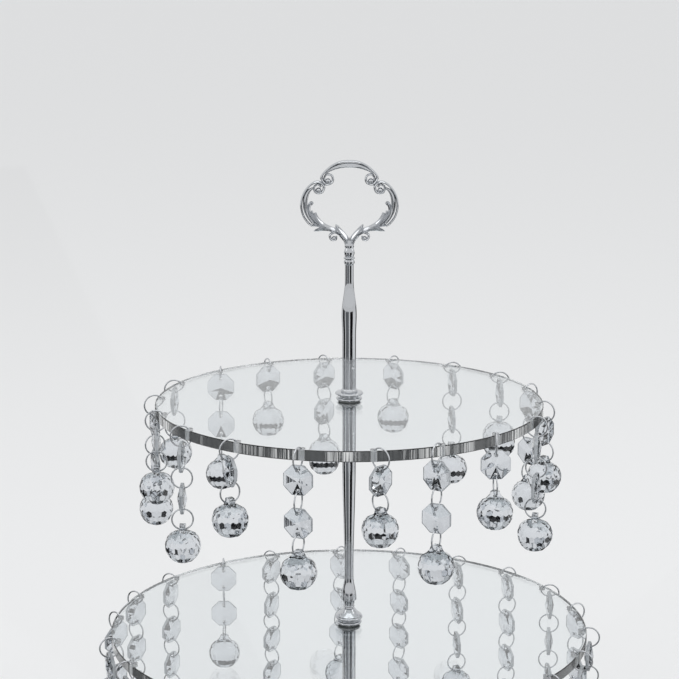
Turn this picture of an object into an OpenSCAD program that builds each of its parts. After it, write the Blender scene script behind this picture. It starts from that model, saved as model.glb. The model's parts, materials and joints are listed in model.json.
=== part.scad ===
// Three-tier cake stand: clear trays stacked on a turned metal stem, an openwork
// grip on top, and strings of glass beads that swing from rings in the tray edges.
// Millimetres, +Z up. The origin is where the stem's axis meets the table.

/* [Trays] */
// Diameter of the upper tray
upper_tray_d = 200; // [180:5:210]
// Diameter of the middle tray
middle_tray_d = 250; // [235:5:265]
// Diameter of the base tray
base_tray_d = 300; // [290:5:330]
// Thickness of every tray
tray_t = 5.4; // [5:0.1:5.6]
// Height from one tray's top to the next one's top
tier_pitch = 121.5; // [118:0.5:135]
// Chamfer round both edges of a tray
tray_chamfer = 0.4; // [0.2:0.1:0.8]
// Diameter of the small holes that the strings hang from
string_hole_d = 3; // [3:0.1:3.4]
// Distance from a tray's rim in to the centres of those holes
string_hole_inset = 2.8; // [2.6:0.1:3]

/* [Stem] */
// Diameter of the plain part of each rod
shaft_d = 7; // [6.4:0.1:8]
// Length of the upper rod
upper_rod_len = 66.4; // [60:0.2:80]
// Diameter of the swelling on the upper rod
swell_d = 7.7; // [7.2:0.1:9]
// Distance from the upper rod's top down to the middle of the swelling
swell_drop = 26.3; // [22:0.1:28]
// Length of the run from the swelling down to the plain shaft
swell_run = 11; // [8:0.5:14]
// Diameter of the upper rod's thin neck
neck_d = 4.4; // [4.2:0.1:5.2]
// Length of the upper rod's thin neck
neck_len = 7.7; // [6:0.1:10]
// Diameter of the ring round each rod's tray end
rod_ring_d = 8.8; // [8.2:0.1:9.6]
// Height of the ring round each rod's tray end
rod_ring_h = 0.9; // [0.6:0.1:1.6]
// Length of the plain shaft at the top of the lower rods
plain_len = 24; // [15:1:34]
// Diameter of the waist near the foot of the lower rods
waist_d = 4.7; // [4.5:0.1:5.6]
// Height of the waist above the foot of the lower rods
waist_h = 15.5; // [12:0.5:20]
// Diameter of the bell at the foot of the lower rods
bell_d = 7.9; // [7.2:0.1:8.6]
// Height of the bell's widest ring above the foot of the lower rods
bell_h = 3; // [2.4:0.1:4]

/* [Collars] */
// Diameter of a spool collar's lower flange
spool_lower_d = 13.4; // [11:0.2:16]
// Diameter of a spool collar's upper flange
spool_upper_d = 14.4; // [13.6:0.2:17]
// Diameter of a spool collar's groove
spool_groove_d = 9.3; // [8:0.1:10.5]
// Height of each flange of a spool collar
spool_flange_h = 1.3; // [1:0.1:1.8]
// Height of the groove between the flanges
spool_groove_h = 1.4; // [1:0.1:2]
// Diameter of the flared foot's base
flare_d = 13.4; // [11.5:0.1:13.6]
// Diameter of the flared foot where its cone starts
flare_top_d = 6.4; // [5.8:0.1:7.4]
// Height of the flared foot's cone
flare_cone_h = 3.5; // [2:0.1:4]
// Height of the flared foot's rim band under the cone
flare_rim_h = 0.5; // [0.3:0.1:1]
// Height of the flared foot's neck
flare_neck_h = 2.5; // [2.5:0.1:5]
// Diameter of the flared foot's neck
flare_neck_d = 4.8; // [4.4:0.1:5.6]
// Thickness of the clear gasket on each face of a tray
gasket_t = 0.5; // [0.3:0.1:1]
// Diameter of the clear gaskets
gasket_d = 12; // [11:0.5:13]

/* [Fasteners] */
// Diameter of the threaded studs and of the base screw
stud_d = 3; // [2.6:0.1:3.2]
// Radial clearance round a stud in a tapped hole
thread_gap = 0.05; // [0.02:0.01:0.1]
// Radial clearance round a stud in a tray, gasket or washer
pass_gap = 0.3; // [0.15:0.05:0.5]
// Depth to which a stud enters a rod
stud_bite = 8; // [5:0.5:12]
// Empty depth left beyond the end of a stud
stud_end_gap = 0.5; // [0.3:0.1:1]
// Diameter of the base screw's head
screw_head_d = 6; // [5.4:0.1:7]
// Height of the base screw's head
screw_head_h = 2.2; // [1.6:0.1:2.6]
// Width of the slot in the base screw's head
screw_slot_w = 0.8; // [0.6:0.1:1]
// Depth of the slot in the base screw's head
screw_slot_h = 1; // [0.7:0.1:1.2]
// Diameter of the washer under the base tray
base_washer_d = 12; // [9:0.5:16]
// Thickness of the washer under the base tray
base_washer_t = 0.8; // [0.6:0.1:1]

/* [Grip] */
// Height of the openwork grip from its socket to its top
grip_h = 44.7; // [44:0.1:48]
// Thickness of the grip, front to back
grip_t = 4.4; // [4:0.1:5]
// Width of the grip's cast scroll bands
scroll_w = 3.3; // [3.1:0.1:3.8]
// Radius of the top scroll's centre line
top_scroll_r = 13.2; // [13:0.1:13.6]
// Radius of each side scroll's centre line
side_scroll_r = 9.9; // [9.7:0.1:10.2]
// Radius of the round scroll ends
scroll_end_r = 2.7; // [2.5:0.1:2.9]
// Diameter of the grip's stem
grip_stem_d = 5.2; // [5:0.1:6]
// Depth to which the grip's stud enters its stem
grip_bite = 5; // [4:0.5:6]

/* [Finial socket] */
// Diameter of the round bead under the grip
bead_d = 5.4; // [5:0.1:6]
// Height of the round bead under the grip
bead_h = 4.8; // [4:0.1:5.6]
// How far the bead's ends are drawn in from the band's wall
bead_inset = 0.5; // [0.3:0.1:0.6]
// Diameter of the thin ring under the bead
thin_ring_d = 5.9; // [5.4:0.1:7]
// Height of the thin ring under the bead
thin_ring_h = 0.9; // [0.6:0.1:1.4]
// Diameter of the plain band at the foot of the socket
band_d = 5.5; // [5:0.1:6.4]
// Height of the plain band at the foot of the socket
band_h = 3.2; // [2.4:0.1:4.4]

/* [Feet] */
// Number of rubber feet
foot_count = 4; // [3:1:8]
// Height of the rubber feet
foot_h = 5; // [4.6:0.1:8]
// Diameter of a foot where it is stuck to the tray
foot_top_d = 12; // [10:0.5:14]
// Diameter of a foot's resting face
foot_rest_d = 10; // [7:0.5:10]
// Radius of the circle of feet
foot_circle_r = 125; // [100:5:135]

/* [Pendants] */
// Outer diameter of a link ring
ring_od = 11.3; // [10.9:0.1:11.6]
// Wire diameter of a link ring
wire_d = 0.8; // [0.7:0.05:0.85]
// Width of an octagon bead across its flats
bead_af = 14.6; // [14:0.1:15]
// Thickness of an octagon bead at its middle
bead_t = 5; // [4:0.1:5.2]
// Thickness of an octagon bead at its edge
bead_edge_t = 1.6; // [1.2:0.1:1.8]
// Width across flats of the small flat face in an octagon's middle
bead_table_af = 4; // [3:0.1:5]
// Diameter of the holes in the glass
glass_hole_d = 1.9; // [1.85:0.05:2.1]
// Distance from an octagon's flat in to its hole
bead_hole_inset = 2.3; // [2.1:0.1:2.6]
// Diameter of the faceted drop ball
ball_d = 18; // [16:0.2:18.4]
// Height of the ball's drilled nub above the ball's centre
nub_top = 11; // [10.8:0.1:11.6]
// Height of the hole through the nub above the ball's centre
nub_hole_h = 8; // [7.8:0.1:8.4]
// Width of the nub
nub_w = 5.6; // [4.8:0.1:6.4]
// Thickness of the nub along its hole
nub_t = 3; // [2.6:0.1:3.4]
// Greatest turn of one glass piece or ring from its string's plane
link_turn = 6; // [0:1:6]
// Azimuth of the upper tray's first string, turning right from the front
upper_first = 6.5; // [0:0.5:20]
// Azimuth of the middle tray's first string, turning right from the front
middle_first = 3.5; // [0:0.5:16]

/* [Hidden] */
$fn = 64;

// Number of octagon beads on each string, going round from the first one
upper_beads = [1, 2, 1, 2, 1, 2, 1, 2, 1, 2, 1, 2, 1, 2, 1, 2, 1, 2];
middle_beads = [4, 3, 4, 3, 4, 3, 4, 3, 4, 3, 4, 3, 4, 2, 4, 3, 4, 3, 4, 3, 4, 3];
// How far each string's hook ring has turned in its hole from straight out
upper_turns = [43, -57, -46, 12, -30, 24, -36, -44, -26, 33, -2, -46, 23, 20, -14, -36, -28, -11];
middle_turns = [6, -6, 6, -6, 6, -6, 16, -28, -20, -45, -32, -44, 36, -36, 8, -12, -38, 6, -6, 6, -6, 6];

// Heights of the tray tops
base_top = foot_h + tray_t;
middle_top = base_top + tier_pitch;
upper_top = middle_top + tier_pitch;

// The stack that stands on each tray
spool_h = 2 * spool_flange_h + spool_groove_h;
spool_top = gasket_t + spool_h;
flare_h = flare_rim_h + flare_cone_h + flare_neck_h;
stack_top = spool_top + flare_h;
lower_rod_len = tier_pitch - tray_t - gasket_t - stack_top;
socket_h = band_h + thin_ring_h + bead_h;
socket_bottom = upper_top + spool_top + upper_rod_len;
grip_bottom = socket_bottom + socket_h;

// String geometry: wire centre line, and how the pieces hang in each other
ring_r = (ring_od - wire_d) / 2;
seat_gap = 0.07;
bead_hole_r = bead_af / 2 - bead_hole_inset;
// The ring curves up out of a hole by this much at the hole's mouths
bead_mouth = mouth_half(bead_hole_r + glass_hole_d / 2);
bead_seat = glass_hole_d / 2 - wire_d / 2 - ring_rise(bead_mouth) - seat_gap;
nub_seat = glass_hole_d / 2 - wire_d / 2 - ring_rise(nub_t / 2) - seat_gap;
ring_to_bead = ring_r + bead_seat + bead_hole_r;
ring_to_ball = ring_r + nub_seat + nub_hole_h;
// A hook ring leans on the inner wall of its hole and on the hole's outer top corner
wall_gap = 0.15;
hook_reach = ring_r + wire_d / 2 + wall_gap - string_hole_d / 2;
hook_inner = ring_r - wire_d / 2 - seat_gap;
hook_drop = sqrt(pow(hook_inner, 2) - pow(hook_reach - string_hole_d / 2, 2));

// Small fixed details of the turned profiles
cut = 1; // How far a cutter runs past a face
swell_len = 0.5;
waist_len = 1;
bell_lip = 0.4;
bell_under = 0.8; // Share of the bell's height taken by its rounded underside
flare_step = 0.3;

// Layout of half the grip in its own plane, from the top of the socket
top_centre = [0, grip_h - top_scroll_r - scroll_w / 2];
top_scroll_span = [11, 169];
top_end_at = [10.4, 5.6]; // From the top scroll's centre
neck_w = 2;
neck_turn = 5; // Degrees back from the top scroll's end to where its neck leaves it
side_scroll_x = 13;
side_scroll_drop = 7.3; // Below the top scroll's centre
side_scroll_span = [-116, 76];
side_end_at = [2.5, 8.5]; // From the side scroll's centre
strand_centre = [13, 1.5];
strand_r = 11;
strand_span = [110, 178];
hook_curl_at = [7.2, 6.3];
hook_curl_r = 2.4;
grip_stem_cap = 1.5; // Solid metal above the stud's hole
leaf_belly = [0.45, 0.9]; // Where a leaf is fullest, and that width's share
// Root, tip and width of each leaf
grip_leaves = [
    [[1, 2.5], [6.7, 11.8], 3.4],
    [[17, 13.4], [17.4, 18], 3],
    [[20.6, 16.2], [19.4, 22.4], 3],
    [[15.5, 13.6], [18.9, 10.6], 3],
    [[11.5, 12.6], [17.6, 8.4], 3]
];

// The name of the string at place i on a tray, such as upper_string_03
function string_name(tray, i) = str(tray, "_string_", i < 10 ? "0" : "", i);

// Half the thickness of an octagon bead at a distance r from its middle, towards a flat
function mouth_half(r) =
    bead_edge_t / 2 + (bead_t - bead_edge_t) / 2 * (bead_af / 2 - r) / ((bead_af - bead_table_af) / 2);

// How far a link ring's wire rises between its lowest point and x to the side
function ring_rise(x) = ring_r - sqrt(pow(ring_r, 2) - pow(x, 2));

// A smooth S-shaped run of profile points from [r0, z0] to [r1, z1]
function ease(r0, z0, r1, z1, n = 8) =
    [for (k = [0:n]) [r0 + (r1 - r0) * (1 - cos(180 * k / n)) / 2, z0 + (z1 - z0) * k / n]];

// A quarter-round run of profile points that turns from level to upright
function quarter(r0, z0, r1, z1, n = 4) =
    [for (k = [0:n]) [r1 + (r0 - r1) * cos(90 * k / n), z0 + (z1 - z0) * sin(90 * k / n)]];

// The turn of piece k on string i, which differs from piece to piece
function turn(i, k) = link_turn * sin(97 * i + 61 * k);

// Places its children at a string's hole, facing outwards
module at_string(tray_d, tray_top, azimuth) {
    rotate([0, 0, azimuth - 90])
        translate([tray_d / 2 - string_hole_inset, 0, tray_top])
            children();
}

// Trays

module tray(d, top, strings, first) {
    color([0.86, 0.93, 0.96, 0.45])
        difference() {
            translate([0, 0, top - tray_t])
                rotate_extrude($fn = 128)
                    polygon([
                        [0, 0], [d / 2 - tray_chamfer, 0], [d / 2, tray_chamfer],
                        [d / 2, tray_t - tray_chamfer], [d / 2 - tray_chamfer, tray_t], [0, tray_t]
                    ]);
            translate([0, 0, top - tray_t - cut])
                cylinder(d = stud_d + 2 * pass_gap, h = tray_t + 2 * cut);
            if (strings > 0)
                for (i = [0:strings - 1])
                    at_string(d, top - tray_t - cut, first + i * 360 / strings)
                        cylinder(d = string_hole_d, h = tray_t + 2 * cut, $fn = 24);
        }
}

module upper_tray() tray(upper_tray_d, upper_top, len(upper_beads), upper_first);

module middle_tray() tray(middle_tray_d, middle_top, len(middle_beads), middle_first);

module base_tray() tray(base_tray_d, base_top, 0, 0);

// Stem

// A turned piece: a profile from the axis out, with a tapped hole in one end or both
module turned(profile, length, hole_bottom = 0, hole_top = 0) {
    tapped = stud_d + 2 * thread_gap;
    color("silver")
        difference() {
            rotate_extrude() polygon(concat([[0, 0]], profile, [[0, length]]));
            if (hole_bottom > 0)
                translate([0, 0, -cut]) cylinder(d = tapped, h = hole_bottom + cut);
            if (hole_top > 0)
                translate([0, 0, length - hole_top]) cylinder(d = tapped, h = hole_top + cut);
        }
}

module upper_rod() {
    swell_z = upper_rod_len - swell_drop;
    neck_z = upper_rod_len - neck_len;
    translate([0, 0, upper_top + spool_top])
        turned(
            concat(
                [[rod_ring_d / 2, 0], [rod_ring_d / 2, rod_ring_h]],
                quarter(rod_ring_d / 2, rod_ring_h, shaft_d / 2, 2 * rod_ring_h),
                ease(shaft_d / 2, swell_z - swell_run, swell_d / 2, swell_z),
                ease(swell_d / 2, swell_z + swell_len, neck_d / 2, neck_z, 12),
                [[neck_d / 2, upper_rod_len]]
            ),
            upper_rod_len, stud_bite + stud_end_gap, stud_bite + stud_end_gap
        );
}

// Both rods below the upper tray: a ring and plain shaft, a long taper, and a bell foot
module tapered_rod() {
    turned(
        concat(
            [[flare_neck_d / 2, 0]],
            quarter(flare_neck_d / 2 + bell_lip, 0, bell_d / 2, bell_h * bell_under),
            ease(bell_d / 2, bell_h, waist_d / 2, waist_h, 12),
            ease(waist_d / 2, waist_h + waist_len, shaft_d / 2, lower_rod_len - rod_ring_h - plain_len, 16),
            [[shaft_d / 2, lower_rod_len - 2 * rod_ring_h]],
            [[rod_ring_d / 2, lower_rod_len - rod_ring_h], [rod_ring_d / 2, lower_rod_len]]
        ),
        lower_rod_len, stud_bite + stud_end_gap, stud_bite + stud_end_gap
    );
}

module middle_rod() translate([0, 0, middle_top + stack_top]) tapered_rod();

module lower_rod() translate([0, 0, base_top + stack_top]) tapered_rod();

// A spool-shaped collar with a bead-edged flange at each end
module spool_collar() {
    flange_round = spool_flange_h / 2;
    color("gainsboro")
        difference() {
            union() {
                cylinder(d = spool_groove_d, h = spool_h);
                for (end = [[0, spool_lower_d], [spool_h - spool_flange_h, spool_upper_d]])
                    translate([0, 0, end[0]])
                        rotate_extrude()
                            union() {
                                square([end[1] / 2 - flange_round, spool_flange_h]);
                                translate([end[1] / 2 - flange_round, flange_round])
                                    circle(r = flange_round, $fn = 32);
                            }
            }
            translate([0, 0, -cut])
                cylinder(d = stud_d + 2 * pass_gap, h = spool_h + 2 * cut);
        }
}

module upper_collar() translate([0, 0, upper_top + gasket_t]) spool_collar();

module middle_collar() translate([0, 0, middle_top + gasket_t]) spool_collar();

module base_collar() translate([0, 0, base_top + gasket_t]) spool_collar();

// The flared foot that spreads a tapered rod's load onto its collar
module flared_foot() {
    cone_top = flare_rim_h + flare_cone_h;
    color("silver")
        difference() {
            rotate_extrude()
                polygon(concat(
                    [[0, 0], [flare_d / 2, 0], [flare_d / 2, flare_rim_h]],
                    [[flare_top_d / 2, cone_top]],
                    [[flare_neck_d / 2, cone_top + flare_step], [flare_neck_d / 2, flare_h], [0, flare_h]]
                ));
            translate([0, 0, -cut])
                cylinder(d = stud_d + 2 * pass_gap, h = flare_h + 2 * cut);
        }
}

module middle_flared_foot() translate([0, 0, middle_top + spool_top]) flared_foot();

module lower_flared_foot() translate([0, 0, base_top + spool_top]) flared_foot();

// Beaded socket between the upper rod and the grip: a band, a thin ring and a round bead
module finial_socket() {
    end_r = band_d / 2 - bead_inset;
    bead_base = band_h + thin_ring_h;
    bead = [for (k = [0:12]) [end_r + (bead_d / 2 - end_r) * sin(15 * k), bead_base + bead_h * k / 12]];
    translate([0, 0, socket_bottom])
        turned(
            concat(
                [[band_d / 2, 0], [band_d / 2, band_h]],
                [[thin_ring_d / 2, band_h], [thin_ring_d / 2, bead_base]],
                bead
            ),
            socket_h, socket_h + cut
        );
}

// Fasteners

module stud(bottom, top) {
    color("dimgray")
        translate([0, 0, bottom]) cylinder(d = stud_d, h = top - bottom);
}

module grip_stud() stud(socket_bottom - stud_bite, grip_bottom + grip_bite);

module upper_stud()
    stud(upper_top - tray_t - gasket_t - stud_bite, upper_top + spool_top + stud_bite);

module middle_stud()
    stud(middle_top - tray_t - gasket_t - stud_bite, middle_top + stack_top + stud_bite);

module base_screw() {
    head_bottom = foot_h - base_washer_t - screw_head_h;
    // The shank starts inside the head, above the slot
    shank_bottom = head_bottom + (screw_slot_h + screw_head_h) / 2;
    slot_len = screw_head_d + 2 * cut;
    color("dimgray")
        difference() {
            union() {
                translate([0, 0, shank_bottom])
                    cylinder(d = stud_d, h = base_top + stack_top + stud_bite - shank_bottom);
                translate([0, 0, head_bottom])
                    cylinder(d = screw_head_d, h = screw_head_h);
            }
            translate([-slot_len / 2, -screw_slot_w / 2, head_bottom - cut])
                cube([slot_len, screw_slot_w, screw_slot_h + cut]);
        }
}

// A flat ring round the stem's axis
module ring_plate(d, t, z) {
    translate([0, 0, z])
        difference() {
            cylinder(d = d, h = t);
            translate([0, 0, -cut]) cylinder(d = stud_d + 2 * pass_gap, h = t + 2 * cut);
        }
}

module base_washer()
    color("silver") ring_plate(base_washer_d, base_washer_t, foot_h - base_washer_t);

// One clear gasket on each face that metal would otherwise press
module gaskets() {
    color([0.9, 0.9, 0.9, 0.6]) {
        for (top = [base_top, middle_top, upper_top])
            ring_plate(gasket_d, gasket_t, top);
        for (top = [middle_top, upper_top])
            ring_plate(gasket_d, gasket_t, top - tray_t - gasket_t);
    }
}

module rubber_feet() {
    color([0.85, 0.85, 0.85, 0.7])
        for (i = [0:foot_count - 1])
            rotate([0, 0, 45 + i * 360 / foot_count])
                translate([foot_circle_r, 0, 0])
                    cylinder(d1 = foot_rest_d, d2 = foot_top_d, h = foot_h);
}

// Grip

// Part of a flat ring: centre-line radius r, width w, from angle a to angle b
module scroll(r, w, a, b) {
    reach = 2 * (r + w);
    mid = (a + b) / 2;
    quarter_turn = (b - a) / 4;
    intersection() {
        difference() {
            circle(r = r + w / 2);
            circle(r = r - w / 2);
        }
        polygon(concat(
            [[0, 0]],
            [for (k = [-2:2]) reach * [cos(mid + k * quarter_turn), sin(mid + k * quarter_turn)]]
        ));
    }
}

// A pointed leaf from its root to its tip
module leaf(root, tip, w) {
    belly = root + (tip - root) * leaf_belly[0];
    side = [root[1] - tip[1], tip[0] - root[0]] / norm(tip - root) * w / 2;
    full = side * leaf_belly[1];
    polygon([root - side, belly - full, tip, belly + full, root + side]);
}

// The neck that carries an end of the top scroll on into the side scroll's curl
module neck(root, tip) {
    side = [root[1] - tip[1], tip[0] - root[0]] / norm(tip - root) * neck_w / 2;
    polygon([root - side, tip - side, tip + side, root + side]);
}

// One half of the openwork outline below the top scroll, whose end stands at the angle top_end
module grip_half(top_end) {
    side_centre = top_centre + [side_scroll_x, -side_scroll_drop];
    neck_root = top_end + neck_turn;
    neck(top_centre + top_scroll_r * [cos(neck_root), sin(neck_root)], side_centre + side_end_at);
    translate(top_centre + top_end_at) circle(r = scroll_end_r);
    translate(side_centre)
        scroll(side_scroll_r, scroll_w, side_scroll_span[0], side_scroll_span[1]);
    translate(side_centre + side_end_at) circle(r = scroll_end_r);
    translate(strand_centre) scroll(strand_r, scroll_w, strand_span[0], strand_span[1]);
    translate(hook_curl_at) circle(r = hook_curl_r);
    for (l = grip_leaves)
        leaf(l[0], l[1], l[2]);
}

module grip() {
    color("silver")
        translate([0, 0, grip_bottom])
            difference() {
                union() {
                    rotate([90, 0, 0])
                        linear_extrude(grip_t, center = true)
                            union() {
                                translate(top_centre)
                                    scroll(top_scroll_r, scroll_w, top_scroll_span[0], top_scroll_span[1]);
                                grip_half(top_scroll_span[0]);
                                mirror([1, 0]) grip_half(180 - top_scroll_span[1]);
                            }
                    cylinder(d = grip_stem_d, h = grip_bite + grip_stem_cap);
                }
                translate([0, 0, -cut])
                    cylinder(d = stud_d + 2 * thread_gap, h = grip_bite + stud_end_gap + cut);
            }
}

// Strings of glass

module link_ring() {
    color("silver")
        rotate([90, 0, 0])
            rotate_extrude(convexity = 4)
                translate([ring_r, 0]) circle(d = wire_d, $fn = 24);
}

// A cross hole through glass, along X
module glass_hole(z) {
    translate([0, 0, z])
        rotate([0, 90, 0])
            cylinder(d = glass_hole_d, h = 2 * ball_d, center = true, $fn = 24);
}

// An eight-sided bead with a low star face on each side and a hole near two of its flats
module octagon_bead() {
    half = [[bead_t / 2, bead_table_af / 2], [bead_edge_t / 2, bead_af / 2]];
    section = concat(
        half, [for (p = [half[1], half[0]]) [-p[0], p[1]]],
        [for (p = half) [-p[0], -p[1]]], [for (p = [half[1], half[0]]) [p[0], -p[1]]]
    );
    color([0.9, 0.93, 0.96, 0.6])
        difference() {
            intersection_for (k = [0:3])
                rotate([45 * k, 0, 0])
                    rotate([90, 0, 0])
                        linear_extrude(2 * bead_af, center = true) polygon(section);
            glass_hole(bead_hole_r);
            glass_hole(-bead_hole_r);
        }
}

// A faceted ball with a drilled nub on top
module drop_ball() {
    color([0.9, 0.93, 0.96, 0.6])
        difference() {
            union() {
                rotate_extrude($fn = 10)
                    polygon([for (k = [0:6]) ball_d / 2 * [sin(30 * k), cos(30 * k)]]);
                intersection() {
                    cylinder(d = nub_w, h = nub_top, $fn = 12);
                    translate([0, 0, nub_top / 2]) cube([nub_t, 2 * nub_w, nub_top], center = true);
                }
            }
            glass_hole(nub_hole_h);
        }
}

// A string: its hook ring, then beads and rings in turn, and the ball.
// The origin is the hook ring's middle.
module glass_string(i, beads) {
    link_pitch = 2 * ring_to_bead;
    link_ring();
    for (k = [1:beads]) {
        translate([0, 0, ring_to_bead - k * link_pitch]) rotate([0, 0, turn(i, 2 * k)]) octagon_bead();
        translate([0, 0, -k * link_pitch]) rotate([0, 0, turn(i, 2 * k + 1)]) link_ring();
    }
    translate([0, 0, -beads * link_pitch - ring_to_ball]) drop_ball();
}

module hung_string(tray_d, tray_top, azimuth, turned_by, i, beads) {
    at_string(tray_d, tray_top, azimuth)
        rotate([0, 0, turned_by])
            translate([hook_reach, 0, -hook_drop])
                glass_string(i, beads);
}

module upper_string(i) {
    hung_string(upper_tray_d, upper_top, upper_first + (i - 1) * 360 / len(upper_beads),
        upper_turns[i - 1], i, upper_beads[i - 1]);
}

module middle_string(i) {
    hung_string(middle_tray_d, middle_top, middle_first + (i - 1) * 360 / len(middle_beads),
        middle_turns[i - 1], i, middle_beads[i - 1]);
}

grip();
grip_stud();
finial_socket();
upper_rod();
middle_rod();
lower_rod();
upper_collar();
middle_collar();
base_collar();
middle_flared_foot();
lower_flared_foot();
upper_stud();
middle_stud();
base_screw();
base_washer();
gaskets();
upper_tray();
middle_tray();
base_tray();
rubber_feet();
for (i = [1:len(upper_beads)])
    upper_string(i);
for (i = [1:len(middle_beads)])
    middle_string(i);
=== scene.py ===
"""Three-tier cake stand: clear trays on a turned stem, a cast openwork grip and strings of cut glass.

Shapes are worked out in millimetres and scaled once, when each piece is finished.
"""
import json
import logging
from dataclasses import dataclass
from enum import Enum
from math import atan2, cos, pi, radians, sin, sqrt, tau
from typing import Any, Sequence

import bmesh
import bpy
from bmesh.types import BMEdge, BMesh, BMVert
from mathutils import Euler, Matrix, Vector


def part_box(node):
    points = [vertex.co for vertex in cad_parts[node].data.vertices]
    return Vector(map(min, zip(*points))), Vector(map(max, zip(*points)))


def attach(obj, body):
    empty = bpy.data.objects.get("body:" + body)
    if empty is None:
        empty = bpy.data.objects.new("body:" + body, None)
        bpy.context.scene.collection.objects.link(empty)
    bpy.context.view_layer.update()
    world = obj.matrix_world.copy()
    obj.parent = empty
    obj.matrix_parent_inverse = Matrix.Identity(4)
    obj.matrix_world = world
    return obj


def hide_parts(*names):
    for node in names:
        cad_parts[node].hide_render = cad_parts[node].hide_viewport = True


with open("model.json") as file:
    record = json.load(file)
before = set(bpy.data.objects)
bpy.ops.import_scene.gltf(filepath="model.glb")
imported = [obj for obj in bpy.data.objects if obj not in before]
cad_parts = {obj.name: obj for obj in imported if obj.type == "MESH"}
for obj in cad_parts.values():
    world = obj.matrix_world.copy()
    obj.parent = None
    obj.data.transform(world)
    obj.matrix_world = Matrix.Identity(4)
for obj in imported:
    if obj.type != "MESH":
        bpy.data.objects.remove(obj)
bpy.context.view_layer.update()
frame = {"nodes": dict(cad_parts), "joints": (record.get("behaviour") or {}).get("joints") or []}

log = logging.getLogger("cake_stand")

MM = 0.001
STAND = "stand"
# Places nearer than this count as one, in millimetres
TOUCH = 0.01
Point = tuple[float, float]
Place = tuple[float, float, float]
Profile = list[Point]


class Slot(Enum):
    """The record's finishes that a piece may be dressed from."""

    CHROME = "chrome_plate"
    STEEL = "bright_steel"
    ACRYLIC = "clear_acrylic"
    GASKET = "clear_gasket"
    RUBBER = "clear_rubber"
    CRYSTAL = "crystal"


# Finishes


def linear(hex_colour: str, alpha: float = 1.0) -> tuple[float, float, float, float]:
    """Turns an sRGB hex colour into linear values.

    Args:
        hex_colour: Six hex digits, with or without a leading #.
        alpha: The fourth value.

    Returns:
        Linear red, green and blue, and alpha.
    """
    digits = hex_colour.lstrip("#")
    parts = [int(digits[k : k + 2], 16) / 255 for k in (0, 2, 4)]
    red, green, blue = [v / 12.92 if v <= 0.04045 else ((v + 0.055) / 1.055) ** 2.4 for v in parts]
    return red, green, blue, alpha


def add_node(
    tree: bpy.types.NodeTree, kind: str, links: dict[Any, bpy.types.NodeSocket] | None = None, **settings: Any
) -> bpy.types.Node:
    """Adds a node with its settings and its incoming links.

    Args:
        tree: The node tree that takes the node.
        kind: The node's type name.
        links: Input name or number to the output that feeds it.
        settings: Node properties, or values of inputs, with _ for a space in an input's name.

    Returns:
        The new node.
    """
    node = tree.nodes.new(kind)
    for key, value in settings.items():
        name = key.replace("_", " ")
        if hasattr(node, key):
            setattr(node, key, value)
        else:
            node.inputs[name].default_value = value
    for key, output in (links or {}).items():
        tree.links.new(output, node.inputs[key])
    return node


def new_tree(name: str) -> tuple[bpy.types.Material, bpy.types.NodeTree]:
    """Makes an empty material.

    Args:
        name: The material's name.

    Returns:
        The material and its tree.
    """
    material = bpy.data.materials.new(name)
    material.use_nodes = True
    material.node_tree.nodes.clear()
    return material, material.node_tree


def per_mm(size_mm: float) -> float:
    """The texture scale at which one cell of a pattern measures size_mm."""
    return 1 / (size_mm * MM)


# Sockets of a colour Mix node, whose names repeat
MIX_A, MIX_B, MIX_OUT = 6, 7, 2


def let_light_through(tree: bpy.types.NodeTree, shader: bpy.types.NodeSocket, tint: str) -> None:
    """Gives a surface a clear shader and the faint shadow that clear matter throws.

    Args:
        tree: The material's tree.
        shader: The clear shader.
        tint: Colour of the light that comes through.
    """
    path = add_node(tree, "ShaderNodeLightPath")
    faint = add_node(tree, "ShaderNodeBsdfTransparent", Color=linear(tint))
    mix = add_node(
        tree, "ShaderNodeMixShader", {0: path.outputs["Is Shadow Ray"], 1: shader, 2: faint.outputs[0]}
    )
    add_node(tree, "ShaderNodeOutputMaterial", {"Surface": mix.outputs[0]})


@dataclass(frozen=True)
class ChromePlate:
    """Bright chrome over a polished casting or turning: a mirror with a faint ripple of hand buffing."""

    name: str = "chrome plate"
    colour: str = "#CDCFD2"
    roughness: float = 0.06
    haze: float = 0.06
    haze_from: float = 0.4
    haze_full: float = 0.75
    ripple_mm: float = 2.2
    ripple_height_mm: float = 0.012
    smear_mm: float = 9.0

    def make(self) -> bpy.types.Material:
        """Builds the material: buffing haze in patches, and a shallow ripple.

        Returns:
            The material.
        """
        material, tree = new_tree(self.name)
        place = add_node(tree, "ShaderNodeTexCoord").outputs["Object"]
        smear = add_node(
            tree, "ShaderNodeTexNoise", {"Vector": place},
            Scale=per_mm(self.smear_mm), Detail=3.0, Roughness=0.6,
        )
        haze = add_node(
            tree, "ShaderNodeMapRange", {"Value": smear.outputs["Fac"]},
            From_Min=self.haze_from, From_Max=self.haze_full,
            To_Min=self.roughness, To_Max=self.roughness + self.haze,
        )
        ripple = add_node(
            tree, "ShaderNodeTexNoise", {"Vector": place}, Scale=per_mm(self.ripple_mm), Detail=2.0
        )
        bump = add_node(
            tree, "ShaderNodeBump", {"Height": ripple.outputs["Fac"]},
            Strength=1.0, Distance=self.ripple_height_mm * MM,
        )
        shader = add_node(
            tree, "ShaderNodeBsdfPrincipled",
            {"Roughness": haze.outputs["Result"], "Normal": bump.outputs["Normal"]},
            Base_Color=linear(self.colour), Metallic=1.0,
        )
        add_node(tree, "ShaderNodeOutputMaterial", {"Surface": shader.outputs["BSDF"]})
        return material


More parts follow.
